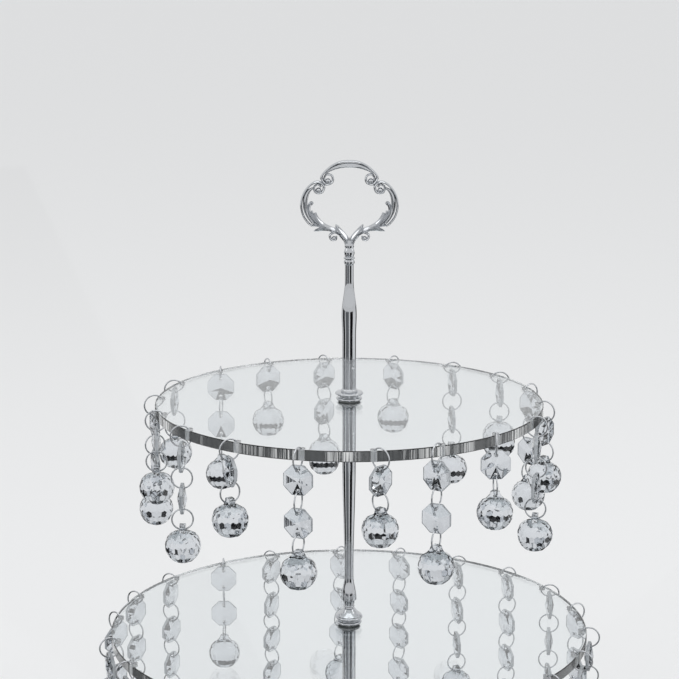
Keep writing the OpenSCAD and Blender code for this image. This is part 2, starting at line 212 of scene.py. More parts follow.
@dataclass(frozen=True)
class ZincSteel:
    """Bright zinc on steel fixings: duller than chrome, with a fine crystalline grain."""

    name: str = "bright zinc steel"
    colour: str = "#B4B6B8"
    dark: str = "#93969A"
    grain_mm: float = 0.8
    roughness: float = 0.28
    smoother: float = 0.08
    rougher: float = 0.12

    def make(self) -> bpy.types.Material:
        """Builds the material: two greys in a fine grain, which also breaks up the gloss.

        Returns:
            The material.
        """
        material, tree = new_tree(self.name)
        place = add_node(tree, "ShaderNodeTexCoord").outputs["Object"]
        grain = add_node(
            tree, "ShaderNodeTexNoise", {"Vector": place}, Scale=per_mm(self.grain_mm), Detail=4.0
        )
        colour = add_node(tree, "ShaderNodeMix", {"Factor": grain.outputs["Fac"]}, data_type="RGBA")
        colour.inputs[MIX_A].default_value = linear(self.colour)
        colour.inputs[MIX_B].default_value = linear(self.dark)
        gloss = add_node(
            tree, "ShaderNodeMapRange", {"Value": grain.outputs["Fac"]},
            To_Min=self.roughness - self.smoother, To_Max=self.roughness + self.rougher,
        )
        shader = add_node(
            tree, "ShaderNodeBsdfPrincipled",
            {"Base Color": colour.outputs[MIX_OUT], "Roughness": gloss.outputs["Result"]}, Metallic=1.0,
        )
        add_node(tree, "ShaderNodeOutputMaterial", {"Surface": shader.outputs["BSDF"]})
        return material


@dataclass(frozen=True)
class CastAcrylic:
    """The faces of clear cast acrylic: glassy, a hair off flat, with a little wear from wiping."""

    name: str = "cast acrylic"
    colour: str = "#F7FAFB"
    shadow: str = "#FBFCFC"
    ior: float = 1.49
    wave_mm: float = 60.0
    wave_height_mm: float = 0.02
    wear_mm: float = 14.0
    wear_from: float = 0.5
    wear_full: float = 0.8
    wear_roughness: float = 0.035

    def make(self) -> bpy.types.Material:
        """Builds the material: the casting's slow wave, and patches of wear.

        Returns:
            The material.
        """
        material, tree = new_tree(self.name)
        place = add_node(tree, "ShaderNodeTexCoord").outputs["Object"]
        wave = add_node(tree, "ShaderNodeTexNoise", {"Vector": place}, Scale=per_mm(self.wave_mm))
        bump = add_node(
            tree, "ShaderNodeBump", {"Height": wave.outputs["Fac"]},
            Strength=1.0, Distance=self.wave_height_mm * MM,
        )
        wear = add_node(
            tree, "ShaderNodeTexNoise", {"Vector": place},
            Scale=per_mm(self.wear_mm), Detail=5.0, Roughness=0.7,
        )
        worn = add_node(
            tree, "ShaderNodeMapRange", {"Value": wear.outputs["Fac"]},
            From_Min=self.wear_from, From_Max=self.wear_full, To_Min=0.0, To_Max=self.wear_roughness,
        )
        shader = add_node(
            tree, "ShaderNodeBsdfPrincipled",
            {"Roughness": worn.outputs["Result"], "Normal": bump.outputs["Normal"]},
            Base_Color=linear(self.colour), IOR=self.ior, Transmission_Weight=1.0,
        )
        let_light_through(tree, shader.outputs["BSDF"], self.shadow)
        return material


@dataclass(frozen=True)
class CutEdge:
    """A sawn, drilled or ground edge of clear stock: duller than its faces, streaked by the cutter. On a
    tray's rim the grey tone is painted shade and the bright streaks are partly painted highlights.
    """

    name: str
    plain: str
    streak: str
    transmission: float
    roughness: float
    shadow: str = "#E4E6E8"
    ior: float = 1.49
    streak_mm: float = 0.8
    streak_height_mm: float = 0.06
    # Where in the noise a streak starts and is full, and how little the noise changes upwards
    streak_from: float = 0.44
    streak_full: float = 0.56
    upwards: float = 0.02
    # Share of the edge's clearness that a streak keeps
    streak_clearness: float = 1.0
    # Streaks come in clusters, and show faintly between them
    cluster_mm: float = 11.0
    cluster_from: float = 0.42
    cluster_full: float = 0.62
    between: float = 0.15

    def make(self) -> bpy.types.Material:
        """Builds the material: upright streaks in clusters, in its tone, height, gloss and clearness.

        Returns:
            The material.
        """
        material, tree = new_tree(self.name)
        place = add_node(tree, "ShaderNodeTexCoord").outputs["Object"]
        squashed = add_node(tree, "ShaderNodeMapping", {"Vector": place}, Scale=(1.0, 1.0, self.upwards))
        streaks = add_node(
            tree, "ShaderNodeTexNoise", {"Vector": squashed.outputs["Vector"]},
            Scale=per_mm(self.streak_mm), Detail=2.0,
        )
        clusters = add_node(
            tree, "ShaderNodeTexNoise", {"Vector": squashed.outputs["Vector"]}, Scale=per_mm(self.cluster_mm)
        )
        where = add_node(
            tree, "ShaderNodeMapRange", {"Value": clusters.outputs["Fac"]},
            From_Min=self.cluster_from, From_Max=self.cluster_full, To_Min=self.between, To_Max=1.0,
        )
        sharp = add_node(
            tree, "ShaderNodeMapRange", {"Value": streaks.outputs["Fac"]},
            From_Min=self.streak_from, From_Max=self.streak_full,
        )
        shown = add_node(
            tree, "ShaderNodeMath", {0: sharp.outputs["Result"], 1: where.outputs["Result"]},
            operation="MULTIPLY",
        )
        tone = add_node(tree, "ShaderNodeMix", {"Factor": shown.outputs[0]}, data_type="RGBA")
        tone.inputs[MIX_A].default_value = linear(self.plain)
        tone.inputs[MIX_B].default_value = linear(self.streak)
        bump = add_node(
            tree, "ShaderNodeBump", {"Height": streaks.outputs["Fac"]},
            Strength=1.0, Distance=self.streak_height_mm * MM,
        )
        gloss = add_node(
            tree, "ShaderNodeMapRange", {"Value": shown.outputs[0]},
            To_Min=self.roughness, To_Max=self.roughness * 2,
        )
        shader = add_node(
            tree, "ShaderNodeBsdfPrincipled",
            {
                "Base Color": tone.outputs[MIX_OUT], "Roughness": gloss.outputs["Result"],
                "Normal": bump.outputs["Normal"],
            },
            IOR=self.ior, Transmission_Weight=self.transmission,
        )
        if self.streak_clearness < 1:
            clear = add_node(
                tree, "ShaderNodeMapRange", {"Value": shown.outputs[0]},
                To_Min=self.transmission, To_Max=self.transmission * self.streak_clearness,
            )
            tree.links.new(clear.outputs["Result"], shader.inputs["Transmission Weight"])
        let_light_through(tree, shader.outputs["BSDF"], self.shadow)
        return material


@dataclass(frozen=True)
class CutCrystal:
    """Machine-cut optical crystal: clear, sharply faceted, with a trace of polishing haze."""

    name: str = "cut crystal"
    colour: str = "#E3E6EA"
    shadow: str = "#E8EAEC"
    ior: float = 1.56
    haze_mm: float = 3.0
    haze: float = 0.02
    haze_from: float = 0.45
    haze_full: float = 0.8

    def make(self) -> bpy.types.Material:
        """Builds the material: full transmission with a faint haze left by the polishing wheel.

        Returns:
            The material.
        """
        material, tree = new_tree(self.name)
        place = add_node(tree, "ShaderNodeTexCoord").outputs["Object"]
        cloud = add_node(
            tree, "ShaderNodeTexNoise", {"Vector": place}, Scale=per_mm(self.haze_mm), Detail=2.0
        )
        haze = add_node(
            tree, "ShaderNodeMapRange", {"Value": cloud.outputs["Fac"]},
            From_Min=self.haze_from, From_Max=self.haze_full, To_Min=0.0, To_Max=self.haze,
        )
        shader = add_node(
            tree, "ShaderNodeBsdfPrincipled", {"Roughness": haze.outputs["Result"]},
            Base_Color=linear(self.colour), IOR=self.ior, Transmission_Weight=1.0,
        )
        let_light_through(tree, shader.outputs["BSDF"], self.shadow)
        return material


@dataclass(frozen=True)
class SoftClear:
    """Clear soft vinyl or silicone of gaskets and bumper feet: milky, satin, with a slight grain."""

    name: str
    colour: str
    transmission: float
    roughness: float
    shadow: str = "#D8DADB"
    ior: float = 1.43
    grain_mm: float = 0.6
    grain_height_mm: float = 0.02
    smoother: float = 0.06
    rougher: float = 0.1

    def make(self) -> bpy.types.Material:
        """Builds the material: milky transmission and a moulded grain.

        Returns:
            The material.
        """
        material, tree = new_tree(self.name)
        place = add_node(tree, "ShaderNodeTexCoord").outputs["Object"]
        grain = add_node(
            tree, "ShaderNodeTexNoise", {"Vector": place}, Scale=per_mm(self.grain_mm), Detail=3.0
        )
        gloss = add_node(
            tree, "ShaderNodeMapRange", {"Value": grain.outputs["Fac"]},
            To_Min=self.roughness - self.smoother, To_Max=self.roughness + self.rougher,
        )
        bump = add_node(
            tree, "ShaderNodeBump", {"Height": grain.outputs["Fac"]},
            Strength=0.5, Distance=self.grain_height_mm * MM,
        )
        shader = add_node(
            tree, "ShaderNodeBsdfPrincipled",
            {"Roughness": gloss.outputs["Result"], "Normal": bump.outputs["Normal"]},
            Base_Color=linear(self.colour), IOR=self.ior, Transmission_Weight=self.transmission,
        )
        let_light_through(tree, shader.outputs["BSDF"], self.shadow)
        return material


class Finishes:
    """The materials of the stand, each made once."""

    def __init__(self) -> None:
        """Makes every material."""
        self.turned = ChromePlate(name="chrome plate turned", ripple_mm=5.0, ripple_height_mm=0.004).make()
        self.cast = ChromePlate(name="chrome plate cast").make()
        self.wire = ChromePlate(name="chrome plate wire", roughness=0.12, ripple_height_mm=0.004).make()
        self.steel = ZincSteel().make()
        self.acrylic = CastAcrylic().make()
        # The rim's grey tone is painted shade for the grey band that inner reflection gives a clear rim; its
        # bright, less clear streaks are cutter marks, painted brighter as highlight bars.
        self.rim = CutEdge(
            "acrylic cut rim with painted shade and highlights", "#D3D7DA", "#FBFCFC", 0.86, 0.03, cluster_mm=15.0,
            streak_clearness=0.3, cluster_from=0.5, between=0.05,
        ).make()
        self.drilled = CutEdge("acrylic drilled wall", "#F6F7F8", "#DDE0E2", 0.1, 0.3).make()
        self.crystal = CutCrystal().make()
        self.girdle = CutEdge(
            "crystal ground girdle", "#D6DADE", "#8F959B", 0.45, 0.22, streak_mm=0.5, cluster_mm=2.0,
            streak_height_mm=0.03, ior=1.56,
        ).make()
        self.gasket = SoftClear("clear vinyl gasket", "#EEF0F0", 0.75, 0.2).make()
        self.rubber = SoftClear("clear silicone bumper", "#E6E8E8", 0.6, 0.3).make()


# Shaping


def box_mm(node: str) -> tuple[Vector, Vector]:
    """The lowest and highest corners of a CAD node, in millimetres."""
    low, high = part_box(node)
    return Vector(low) / MM, Vector(high) / MM


def ease(start: Point, end: Point, steps: int = 16) -> Profile:
    """Runs smoothly from one profile point to another.

    Args:
        start: Radius and height at the start.
        end: Radius and height at the end.
        steps: Number of straight runs.

    Returns:
        The points of an S-shaped run, both ends included.
    """
    (r0, z0), (r1, z1) = start, end
    return [
        (r0 + (r1 - r0) * (1 - cos(pi * k / steps)) / 2, z0 + (z1 - z0) * k / steps) for k in range(steps + 1)
    ]


def quarter(start: Point, end: Point, steps: int = 8) -> Profile:
    """Runs round a quarter from level to upright.

    Args:
        start: Radius and height at the start.
        end: Radius and height at the end.
        steps: Number of straight runs.

    Returns:
        The points of the quarter round, both ends included.
    """
    (r0, z0), (r1, z1) = start, end
    angles = [pi / 2 * k / steps for k in range(steps + 1)]
    return [(r1 + (r0 - r1) * cos(a), z0 + (z1 - z0) * sin(a)) for a in angles]


def arc(centre: Point, radius: float, first: float, last: float, steps: int = 10) -> Profile:
    """Points on a circle's arc.

    Args:
        centre: Radius and height of the arc's centre.
        radius: The arc's radius.
        first: First angle in degrees.
        last: Last angle in degrees.
        steps: Number of straight runs.

    Returns:
        The arc's points, both ends included.
    """
    angles = [radians(first + (last - first) * k / steps) for k in range(steps + 1)]
    return [(centre[0] + radius * cos(a), centre[1] + radius * sin(a)) for a in angles]


def lathe(bm: BMesh, profile: Profile, base: float = 0.0, steps: int = 96, at: Point = (0.0, 0.0)) -> None:
    """Turns a profile about an upright axis into a closed skin.

    Args:
        bm: The mesh that takes the skin.
        profile: Radius and height of each point, in order.
        base: Height added to the profile.
        steps: Number of steps round the axis.
        at: Place of the axis.
    """
    made = [bm.verts.new((at[0] + r, at[1], base + z)) for r, z in profile]
    edges = [bm.edges.new(pair) for pair in zip(made, made[1:])]
    before = set(bm.verts) - set(made)
    bmesh.ops.spin(
        bm, geom=made + edges, cent=(at[0], at[1], 0), axis=(0, 0, 1), angle=tau, steps=steps, use_merge=True
    )
    fresh = [v for v in bm.verts if v not in before]
    bmesh.ops.remove_doubles(bm, verts=fresh, dist=1e-4)
    close_poles(bm)


def close_poles(bm: BMesh) -> None:
    """Fills any open ends and turns every face outwards.

    Args:
        bm: The shape, open or closed.
    """
    open_edges = [e for e in bm.edges if e.is_boundary]
    if open_edges:
        bmesh.ops.holes_fill(bm, edges=open_edges, sides=0)
    bmesh.ops.recalc_face_normals(bm, faces=bm.faces[:])


def new_part(made: dict[str, list[Any]], kind: type) -> list[Any]:
    """The members of one kind in an operator's result."""
    return [item for item in made["geom"] if isinstance(item, kind)]


def edges_at(verts: Sequence[BMVert]) -> list[BMEdge]:
    """The edges that meet at some vertices, each once and always in the same order."""
    return list(dict.fromkeys(e for v in verts for e in v.link_edges))


def as_mesh(bm: BMesh, name: str) -> bpy.types.Mesh:
    """Turns a shape into a mesh.

    Args:
        bm: The shape, which is freed.
        name: The mesh's name.

    Returns:
        The new mesh.
    """
    mesh = bpy.data.meshes.new(name)
    bm.to_mesh(mesh)
    bm.free()
    return mesh


def in_scene(name: str, data: bpy.types.ID) -> bpy.types.Object:
    """Puts a mesh, lamp or camera into the scene.

    Args:
        name: The object's name.
        data: The mesh, lamp or camera.

    Returns:
        The new object.
    """
    made = bpy.data.objects.new(name, data)
    bpy.context.scene.collection.objects.link(made)
    return made


def break_edges(bm: BMesh, edges: Sequence[BMEdge], width: float) -> None:
    """Cuts one narrow flat along each of some edges."""
    bmesh.ops.bevel(bm, geom=edges, offset=width, segments=1, profile=0.5, affect="EDGES", material=-1)


# Turns a shape drawn in XY so that it stands in YZ, with its face along X
UPRIGHT = Matrix(((0, 0, 1, 0), (1, 0, 0, 0), (0, 1, 0, 0), (0, 0, 0, 1)))


class Workshop:
    """Finishes meshes into pieces that ride on the stand's bodies."""

    def __init__(self) -> None:
        """Starts with no pieces."""
        self.count = 0

    def piece(
        self,
        bm: BMesh,
        name: str,
        material: bpy.types.Material,
        body: str = STAND,
        stands_for: Sequence[str] = (),
        crease: float | None = 30.0,
    ) -> bpy.types.Object:
        """Turns a mesh in millimetres into a finished piece.

        Args:
            bm: The shape, which is freed.
            name: The piece's name.
            material: Its material.
            body: The body it rides on.
            stands_for: CAD nodes that it replaces.
            crease: Angle in degrees above which edges stay sharp, or None for flat facets.

        Returns:
            The new object.
        """
        bmesh.ops.scale(bm, vec=(MM, MM, MM), verts=bm.verts[:])
        mesh = as_mesh(bm, name)
        if crease is None:
            mesh.shade_flat()
        else:
            mesh.shade_smooth()
            mesh.set_sharp_from_angle(angle=radians(crease))
        made = in_scene(name, mesh)
        mesh.materials.append(material)
        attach(made, body)
        if stands_for:
            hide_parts(*stands_for)
        self.count += 1
        log.info("%s: %d faces, on %s", name, len(mesh.polygons), body)
        return made


# Trays


@dataclass
class Tray:
    """A clear round tray with small holes near its rim for the strings."""

    node: str
    holes: int = 0
    first_deg: float = 0.0
    hole_r: float = 1.5
    hole_inset: float = 2.8
    bore_r: float = 1.8
    chamfer: float = 0.4
    hole_break: float = 0.12
    rim_steps: int = 360
    bore_steps: int = 48
    hole_steps: int = 32
    # Edges sharper than this are corners, and walls lean less than this from upright
    corner_deg: float = 60.0
    wall_lean: float = 0.1
    # Walls this near the outside belong to the rim
    rim_band: float = 0.2

    def build(self, shop: Workshop, finish: Finishes) -> None:
        """Fills the disc round its holes, gives it thickness and breaks the edges.

        Args:
            shop: Finishes the piece.
            finish: The materials.
        """
        low, high = box_mm(self.node)
        radius, thick = (high.x - low.x) / 2, high.z - low.z
        bm = bmesh.new()
        bmesh.ops.create_circle(bm, segments=self.rim_steps, radius=radius)
        bmesh.ops.create_circle(bm, segments=self.bore_steps, radius=self.bore_r)
        for k in range(self.holes):
            azimuth = radians(self.first_deg + 360 * k / self.holes)
            reach = radius - self.hole_inset
            place = Matrix.Translation((reach * sin(azimuth), -reach * cos(azimuth), 0))
            bmesh.ops.create_circle(bm, segments=self.hole_steps, radius=self.hole_r, matrix=place)
        bmesh.ops.triangle_fill(bm, use_beauty=True, edges=bm.edges[:], normal=(0, 0, 1))
        risen = bmesh.ops.extrude_face_region(bm, geom=bm.faces[:])
        bmesh.ops.translate(bm, vec=(0, 0, thick), verts=new_part(risen, BMVert))
        bmesh.ops.recalc_face_normals(bm, faces=bm.faces[:])
        sharp = radians(self.corner_deg)
        corners = [e for e in bm.edges if len(e.link_faces) == 2 and e.calc_face_angle() > sharp]
        rim = [e for e in corners if e.verts[0].co.xy.length > radius - TOUCH]
        mouths = [e for e in corners if e.verts[0].co.xy.length <= radius - TOUCH]
        break_edges(bm, rim, self.chamfer)
        break_edges(bm, mouths, self.hole_break)
        # The rim wears the second material and the drilled walls the third
        for face in bm.faces:
            if abs(face.normal.z) < self.wall_lean:
                outside = face.calc_center_median().xy.length > radius - self.rim_band
                face.material_index = 1 if outside else 2
        bmesh.ops.translate(bm, vec=(0, 0, low.z), verts=bm.verts[:])
        sheet = shop.piece(bm, f"{self.node}_sheet", finish.acrylic, stands_for=[self.node])
        for material in (finish.rim, finish.drilled):
            sheet.data.materials.append(material)


# Stem


@dataclass
class Stem:
    """The turned rods, spool collars, flared feet and beaded socket that carry the trays."""

    shaft_r: float = 3.5
    ring_r: float = 4.4
    ring_h: float = 0.9
    swell_r: float = 3.85
    swell_drop: float = 26.3
    swell_run: float = 11.0
    neck_r: float = 2.2
    neck_len: float = 7.7
    plain_len: float = 24.0
    waist_r: float = 2.35
    waist_h: float = 15.5
    bell_r: float = 3.95
    bell_h: float = 3.0
    flare_neck_r: float = 2.4
    edge: float = 0.15
    dimple_h: float = 13.5
    dimple_deg: float = 35.0
    dimple_r: float = 0.65
    dimple_depth: float = 0.45
    dimple_cuts: int = 79
    dimple_facing: float = 0.9

    # Spool collar
    low_flange_r: float = 6.7
    high_flange_r: float = 7.2
    flange_round: float = 0.65
    groove_r: float = 4.65
    groove_fillet: Point = (0.5, 0.4)

    # Flared foot, its cone and the foot of its neck as radius and height
    foot_rim_r: float = 6.7
    foot_rim_h: float = 0.5
    foot_break: float = 0.1
    foot_cone: tuple[Point, ...] = ((6.5, 0.55), (5.5, 1.2), (4.6, 2.1), (3.8, 3.1), (3.2, 3.95), (2.5, 4.25))
    foot_ring_drop: float = 1.15
    foot_ring_r: float = 0.55

    # Socket under the grip
    band_r: float = 2.75
    band_h: float = 3.2
    band_groove: float = 0.65
    collar_r: float = 2.95
    collar_h: float = 0.9
    bead_r: float = 2.7

    def ring(self, low: float, high: float, radius: float) -> Profile:
        """A ring's outline with its two corners broken, from low to high.

        Args:
            low: Height of its foot.
            high: Height of its top.
            radius: Its outer radius.

        Returns:
            Its four corners, as radius and height.
        """
        return [
            (radius - self.edge, low), (radius, low + self.edge),
            (radius, high - self.edge), (radius - self.edge, high),
        ]

    def upper_rod(self, length: float) -> Profile:
        """The rod that carries the grip: a ring, a slow swelling and a thin neck.

        Args:
            length: The rod's length.

        Returns:
            Its outline, as radius and height.
        """
        swell, neck = length - self.swell_drop, length - self.neck_len
        return [
            (0, 0), *self.ring(0, self.ring_h, self.ring_r),
            *quarter((self.ring_r - 0.3, self.ring_h), (self.shaft_r, 2 * self.ring_h)),
            *ease((self.shaft_r, swell - self.swell_run), (self.swell_r, swell)),
            *ease((self.swell_r, swell + 0.5), (self.neck_r, neck), 24),
            (self.neck_r, length), (0, length),
        ]

    def tapered_rod(self, length: float) -> Profile:
        """A rod between trays: a bell foot, a waist, a long taper and a ring under the tray.

        Args:
            length: The rod's length.

        Returns:
            Its outline, as radius and height.
        """
        top = length - self.ring_h
        return [
            (0, 0), (self.flare_neck_r, 0),
            *quarter((self.flare_neck_r + 0.4, 0), (self.bell_r, self.bell_h * 0.8)),
            *ease((self.bell_r, self.bell_h), (self.waist_r, self.waist_h), 24),
            *ease((self.waist_r, self.waist_h + 1), (self.shaft_r, top - self.plain_len), 32),
            (self.shaft_r, top - self.ring_h), *self.ring(top, length, self.ring_r), (0, length),
        ]

    def spool(self, height: float) -> Profile:
        """A spool collar: two bead-edged flanges with a round groove between them.

        Args:
            height: The collar's height.

        Returns:
            Its outline, as radius and height.
        """
        flange, groove, (out, up) = self.flange_round, self.groove_r, self.groove_fillet
        low, high = 2 * flange, height - 2 * flange
        return [
            (0, 0), *arc((self.low_flange_r - flange, flange), flange, -90, 90),
            *quarter((groove + out, low), (groove, low + up), 4),
            *reversed(quarter((groove + out, high), (groove, high - up), 4)),
            *arc((self.high_flange_r - flange, height - flange), flange, -90, 90), (0, height),
        ]

    def flared_foot(self, height: float) -> Profile:
        """The flared foot under a tapered rod: a thin rim, a hollowed cone and a ringed neck.

        Args:
            height: The foot's height.

        Returns:
            Its outline, as radius and height.
        """
        rim_r, neck_r, broken = self.foot_rim_r, self.flare_neck_r, self.foot_break
        return [
            (0, 0), (rim_r - broken, 0), (rim_r, broken), (rim_r, self.foot_rim_h - broken),
            (rim_r - broken, self.foot_rim_h), *self.foot_cone,
            *arc((neck_r, height - self.foot_ring_drop), self.foot_ring_r, -90, 90),
            (neck_r, height), (0, height),
        ]

    def socket(self, height: float) -> Profile:
        """The socket under the grip: a rounded band, a thin ring and a round bead.

        Args:
            height: The socket's height.

        Returns:
            Its outline, as radius and height.
        """
        band_r, groove, half = self.band_r, self.band_groove, self.collar_h / 2
        base = self.band_h + self.collar_h
        band = [
            (band_r - groove * cos(pi / 2 * sin(pi * k / 12)) ** 2, self.band_h * k / 12) for k in range(13)
        ]
        bead_h = height - base
        bead = [
            (band_r - groove + (self.bead_r - band_r + groove) * sin(pi * k / 16), base + bead_h * k / 16)
            for k in range(17)
        ]
        ring = arc((self.collar_r - half, self.band_h + half), half, -90, 90)
        return [(0, 0), *band, *ring, *bead, (0, height)]

    def build(self, shop: Workshop, finish: Finishes) -> None:
        """Turns every stem piece between the heights of its CAD node.

        Args:
            shop: Finishes the pieces.
            finish: The materials.
        """
        outlines = {
            "upper_rod": self.upper_rod, "middle_rod": self.tapered_rod, "lower_rod": self.tapered_rod,
            "upper_collar": self.spool, "middle_collar": self.spool, "base_collar": self.spool,
            "middle_flared_foot": self.flared_foot, "lower_flared_foot": self.flared_foot,
            "finial_socket": self.socket,
        }
        for node, outline in outlines.items():
            low, high = box_mm(node)
            bm = bmesh.new()
            lathe(bm, outline(high.z - low.z), low.z)
            if node == "upper_rod":
                self.drill(bm, low.z + self.dimple_h)
            shop.piece(bm, f"{node}_turned", finish.turned, stands_for=[node])

    def drill(self, bm: BMesh, height: float) -> None:
        """Sinks a small dimple into the shaft's front, on the right.

        Args:
            bm: The rod.
            height: The dimple's height.
        """
        aim = Vector((sin(radians(self.dimple_deg)), -cos(radians(self.dimple_deg)), 0))
        spot = aim * self.shaft_r + Vector((0, 0, height))
        near = [
            f for f in bm.faces
            if f.normal.dot(aim) > self.dimple_facing
            and abs(f.calc_center_median().z - height) < self.swell_run
        ]
        edges = dict.fromkeys(e for f in near for e in f.edges)
        upright = [e for e in edges if abs(e.verts[0].co.z - e.verts[1].co.z) > 1]
        bmesh.ops.subdivide_edges(bm, edges=upright, cuts=self.dimple_cuts)
        for vert in bm.verts:
            away = (vert.co - spot).length
            if away < self.dimple_r:
                vert.co -= aim * self.dimple_depth * cos(pi / 2 * away / self.dimple_r)


@dataclass
class Fixings:
    """The threaded studs, base screw, washer, clear gaskets and bumper feet."""

    pitch: float = 0.5
    thread_depth: float = 0.14
    gasket_r: float = 6.0
    gasket_t: float = 0.5
    bore_r: float = 1.8
    foot_r: float = 6.0
    foot_rest_r: float = 5.0
    foot_h: float = 5.0
    foot_round: float = 0.8
    foot_lip: Point = (0.1, 0.5)
    foot_circle_r: float = 125.0
    foot_count: int = 4
    first_foot_deg: float = 45.0

    def thread(self, low: float, high: float, radius: float) -> Profile:
        """The outline of a threaded shank between two heights.

        Args:
            low: Height of its foot.
            high: Height of its top.
            radius: Radius of the crests.

        Returns:
            Its outline, as radius and height.
        """
        turns = int((high - low) / self.pitch)
        crests: Profile = []
        for k in range(turns):
            z = low + k * self.pitch
            crests += [(radius - self.thread_depth, z), (radius, z + self.pitch / 2)]
        return [(0, low), *crests, (radius - self.thread_depth, high), (0, high)]

    def build(self, shop: Workshop, finish: Finishes) -> None:
        """Makes the fixings.

        Args:
            shop: Finishes the pieces.
            finish: The materials.
        """
        for node in ("grip_stud", "upper_stud", "middle_stud"):
            low, high = box_mm(node)
            bm = bmesh.new()
            lathe(bm, self.thread(0, high.z - low.z, (high.x - low.x) / 2), low.z, steps=32)
            shop.piece(bm, f"{node}_threaded", finish.steel, stands_for=[node])
        for node in ("base_screw", "base_washer"):
            frame["nodes"][node].material_slots[0].material = finish.steel
        self.gaskets(shop, finish)
        self.feet(shop, finish)

    def gaskets(self, shop: Workshop, finish: Finishes) -> None:
        """Puts a soft clear disc on each tray face that metal would press.

        Args:
            shop: Finishes the piece.
            finish: The materials.
        """
        tops = {node: box_mm(node) for node in ("base_tray", "middle_tray", "upper_tray")}
        heights = [high.z for _, high in tops.values()]
        heights += [tops[node][0].z - self.gasket_t for node in ("middle_tray", "upper_tray")]
        half = self.gasket_t / 2
        outline = [
            (self.bore_r, 0), *arc((self.gasket_r - half, half), half, -90, 90, 6),
            (self.bore_r, self.gasket_t), (self.bore_r, 0),
        ]
        bm = bmesh.new()
        for height in heights:
            lathe(bm, outline, height, steps=64)
        shop.piece(bm, "gasket_discs", finish.gasket, stands_for=["gaskets"])

    def feet(self, shop: Workshop, finish: Finishes) -> None:
        """Sticks the bumper feet under the base tray.

        Args:
            shop: Finishes the piece.
            finish: The materials.
        """
        bm = bmesh.new()
        inner, (lip, lip_h) = self.foot_rest_r - self.foot_round, self.foot_lip
        outline = [
            (0, 0), (inner, 0), *quarter((inner, 0), (self.foot_rest_r, self.foot_round)),
            (self.foot_r - lip, self.foot_h - lip_h), (self.foot_r, self.foot_h), (0, self.foot_h),
        ]
        for k in range(self.foot_count):
            angle = radians(self.first_foot_deg + 360 * k / self.foot_count)
            at = (self.foot_circle_r * cos(angle), self.foot_circle_r * sin(angle))
            lathe(bm, outline, steps=48, at=at)
        shop.piece(bm, "bumper_feet", finish.rubber, stands_for=["rubber_feet"])


# Grip


class Section(Enum):
    """Cross-sections of the grip's cast members, across and through, each reaching 1 both ways."""

    ROUND = tuple((round(cos(tau * k / 12), 4), round(sin(tau * k / 12), 4)) for k in range(12))
    BAND = (
        (1.0, 0.0), (0.95, 0.55), (0.7, 0.88), (0.2, 1.0), (-0.4, 0.95), (-0.85, 0.7), (-1.0, 0.0),
        (-0.85, -0.7), (-0.4, -0.95), (0.2, -1.0), (0.7, -0.88), (0.95, -0.55),
    )
    LEAF = (
        (1.0, 0.0), (0.8, 0.45), (0.35, 0.6), (0.0, 1.0), (-0.35, 0.6), (-0.8, 0.45), (-1.0, 0.0),
        (-0.8, -0.45), (-0.35, -0.6), (0.0, -1.0), (0.35, -0.6), (0.8, -0.45),
    )


# Share of its width that a curled end loses towards its tip
CURL_TAPER = 0.35
# Place across and up, then full width and full depth
Station = tuple[float, float, float, float]


def curl(centre: Point, radii: Sequence[float], first: float, last: float, size: Point) -> list[Station]:
    """Stations on a spiral.

    Args:
        centre: The spiral's centre.
        radii: Radius at equal steps from its start to its end.
        first: First angle in degrees.
        last: Last angle in degrees.
        size: Width at the start, which tapers towards the end, and depth.

    Returns:
        One station for each radius.
    """
    steps = len(radii) - 1
    made: list[Station] = []
    for k, radius in enumerate(radii):
        angle = radians(first + (last - first) * k / steps)
        width = size[0] * (1 - CURL_TAPER * k / steps)
        made.append((centre[0] + radius * cos(angle), centre[1] + radius * sin(angle), width, size[1]))
    return made


def flow(stations: Sequence[Station], steps: int = 6) -> list[Vector]:
    """Runs a smooth line through stations.

    Args:
        stations: The stations to pass through.
        steps: Steps between two of them.

    Returns:
        Stations along the line, as four-part vectors.
    """
    knots = [Vector(s) for s in stations]
    knots = [2 * knots[0] - knots[1], *knots, 2 * knots[-1] - knots[-2]]
    line: list[Vector] = []
    for a, b, c, d in zip(knots, knots[1:], knots[2:], knots[3:]):
        for k in range(steps):
            t = k / steps
            square, cube = 2 * a - 5 * b + 4 * c - d, 3 * b - a - 3 * c + d
            line.append(0.5 * (2 * b + (c - a) * t + square * t**2 + cube * t**3))
    return [*line, knots[-2]]


def sweep(bm: BMesh, section: Section, stations: Sequence[Station], base: float) -> None:
    """Extrudes a section along a smooth line in the grip's upright plane.

    Args:
        bm: The mesh that takes the member.
        section: Its cross-section.
        stations: Where it passes, with its width and depth there.
        base: Height of the plane's origin.
    """
    line = flow(stations)
    frames: list[Matrix] = []
    for k, place in enumerate(line):
        ahead, behind = line[min(k + 1, len(line) - 1)], line[max(k - 1, 0)]
        run = Vector((ahead[0] - behind[0], 0, ahead[1] - behind[1])).normalized()
        across = Vector((run.z, 0, -run.x)) * max(place[2], 0.1) / 2
        through = Vector((0, 1, 0)) * max(place[3], 0.1) / 2
        turn = Matrix((across, through, run)).transposed().to_4x4()
        frames.append(Matrix.Translation((place[0], 0, base + place[1])) @ turn)
    ring = bmesh.ops.create_circle(bm, segments=len(section.value), radius=1)["verts"]
    edges = edges_at(ring)
    for vert, (across_part, through_part) in zip(ring, section.value):
        vert.co = frames[0] @ Vector((across_part, through_part, 0))
    first = edges
    for here, after in zip(frames, frames[1:]):
        made = bmesh.ops.extrude_edge_only(bm, edges=edges)
        fresh = set(new_part(made, BMVert))
        edges = [e for e in new_part(made, BMEdge) if set(e.verts) <= fresh]
        bmesh.ops.transform(bm, matrix=after @ here.inverted(), verts=list(fresh))
    for end in (first, edges):
        bmesh.ops.contextual_create(bm, geom=end)


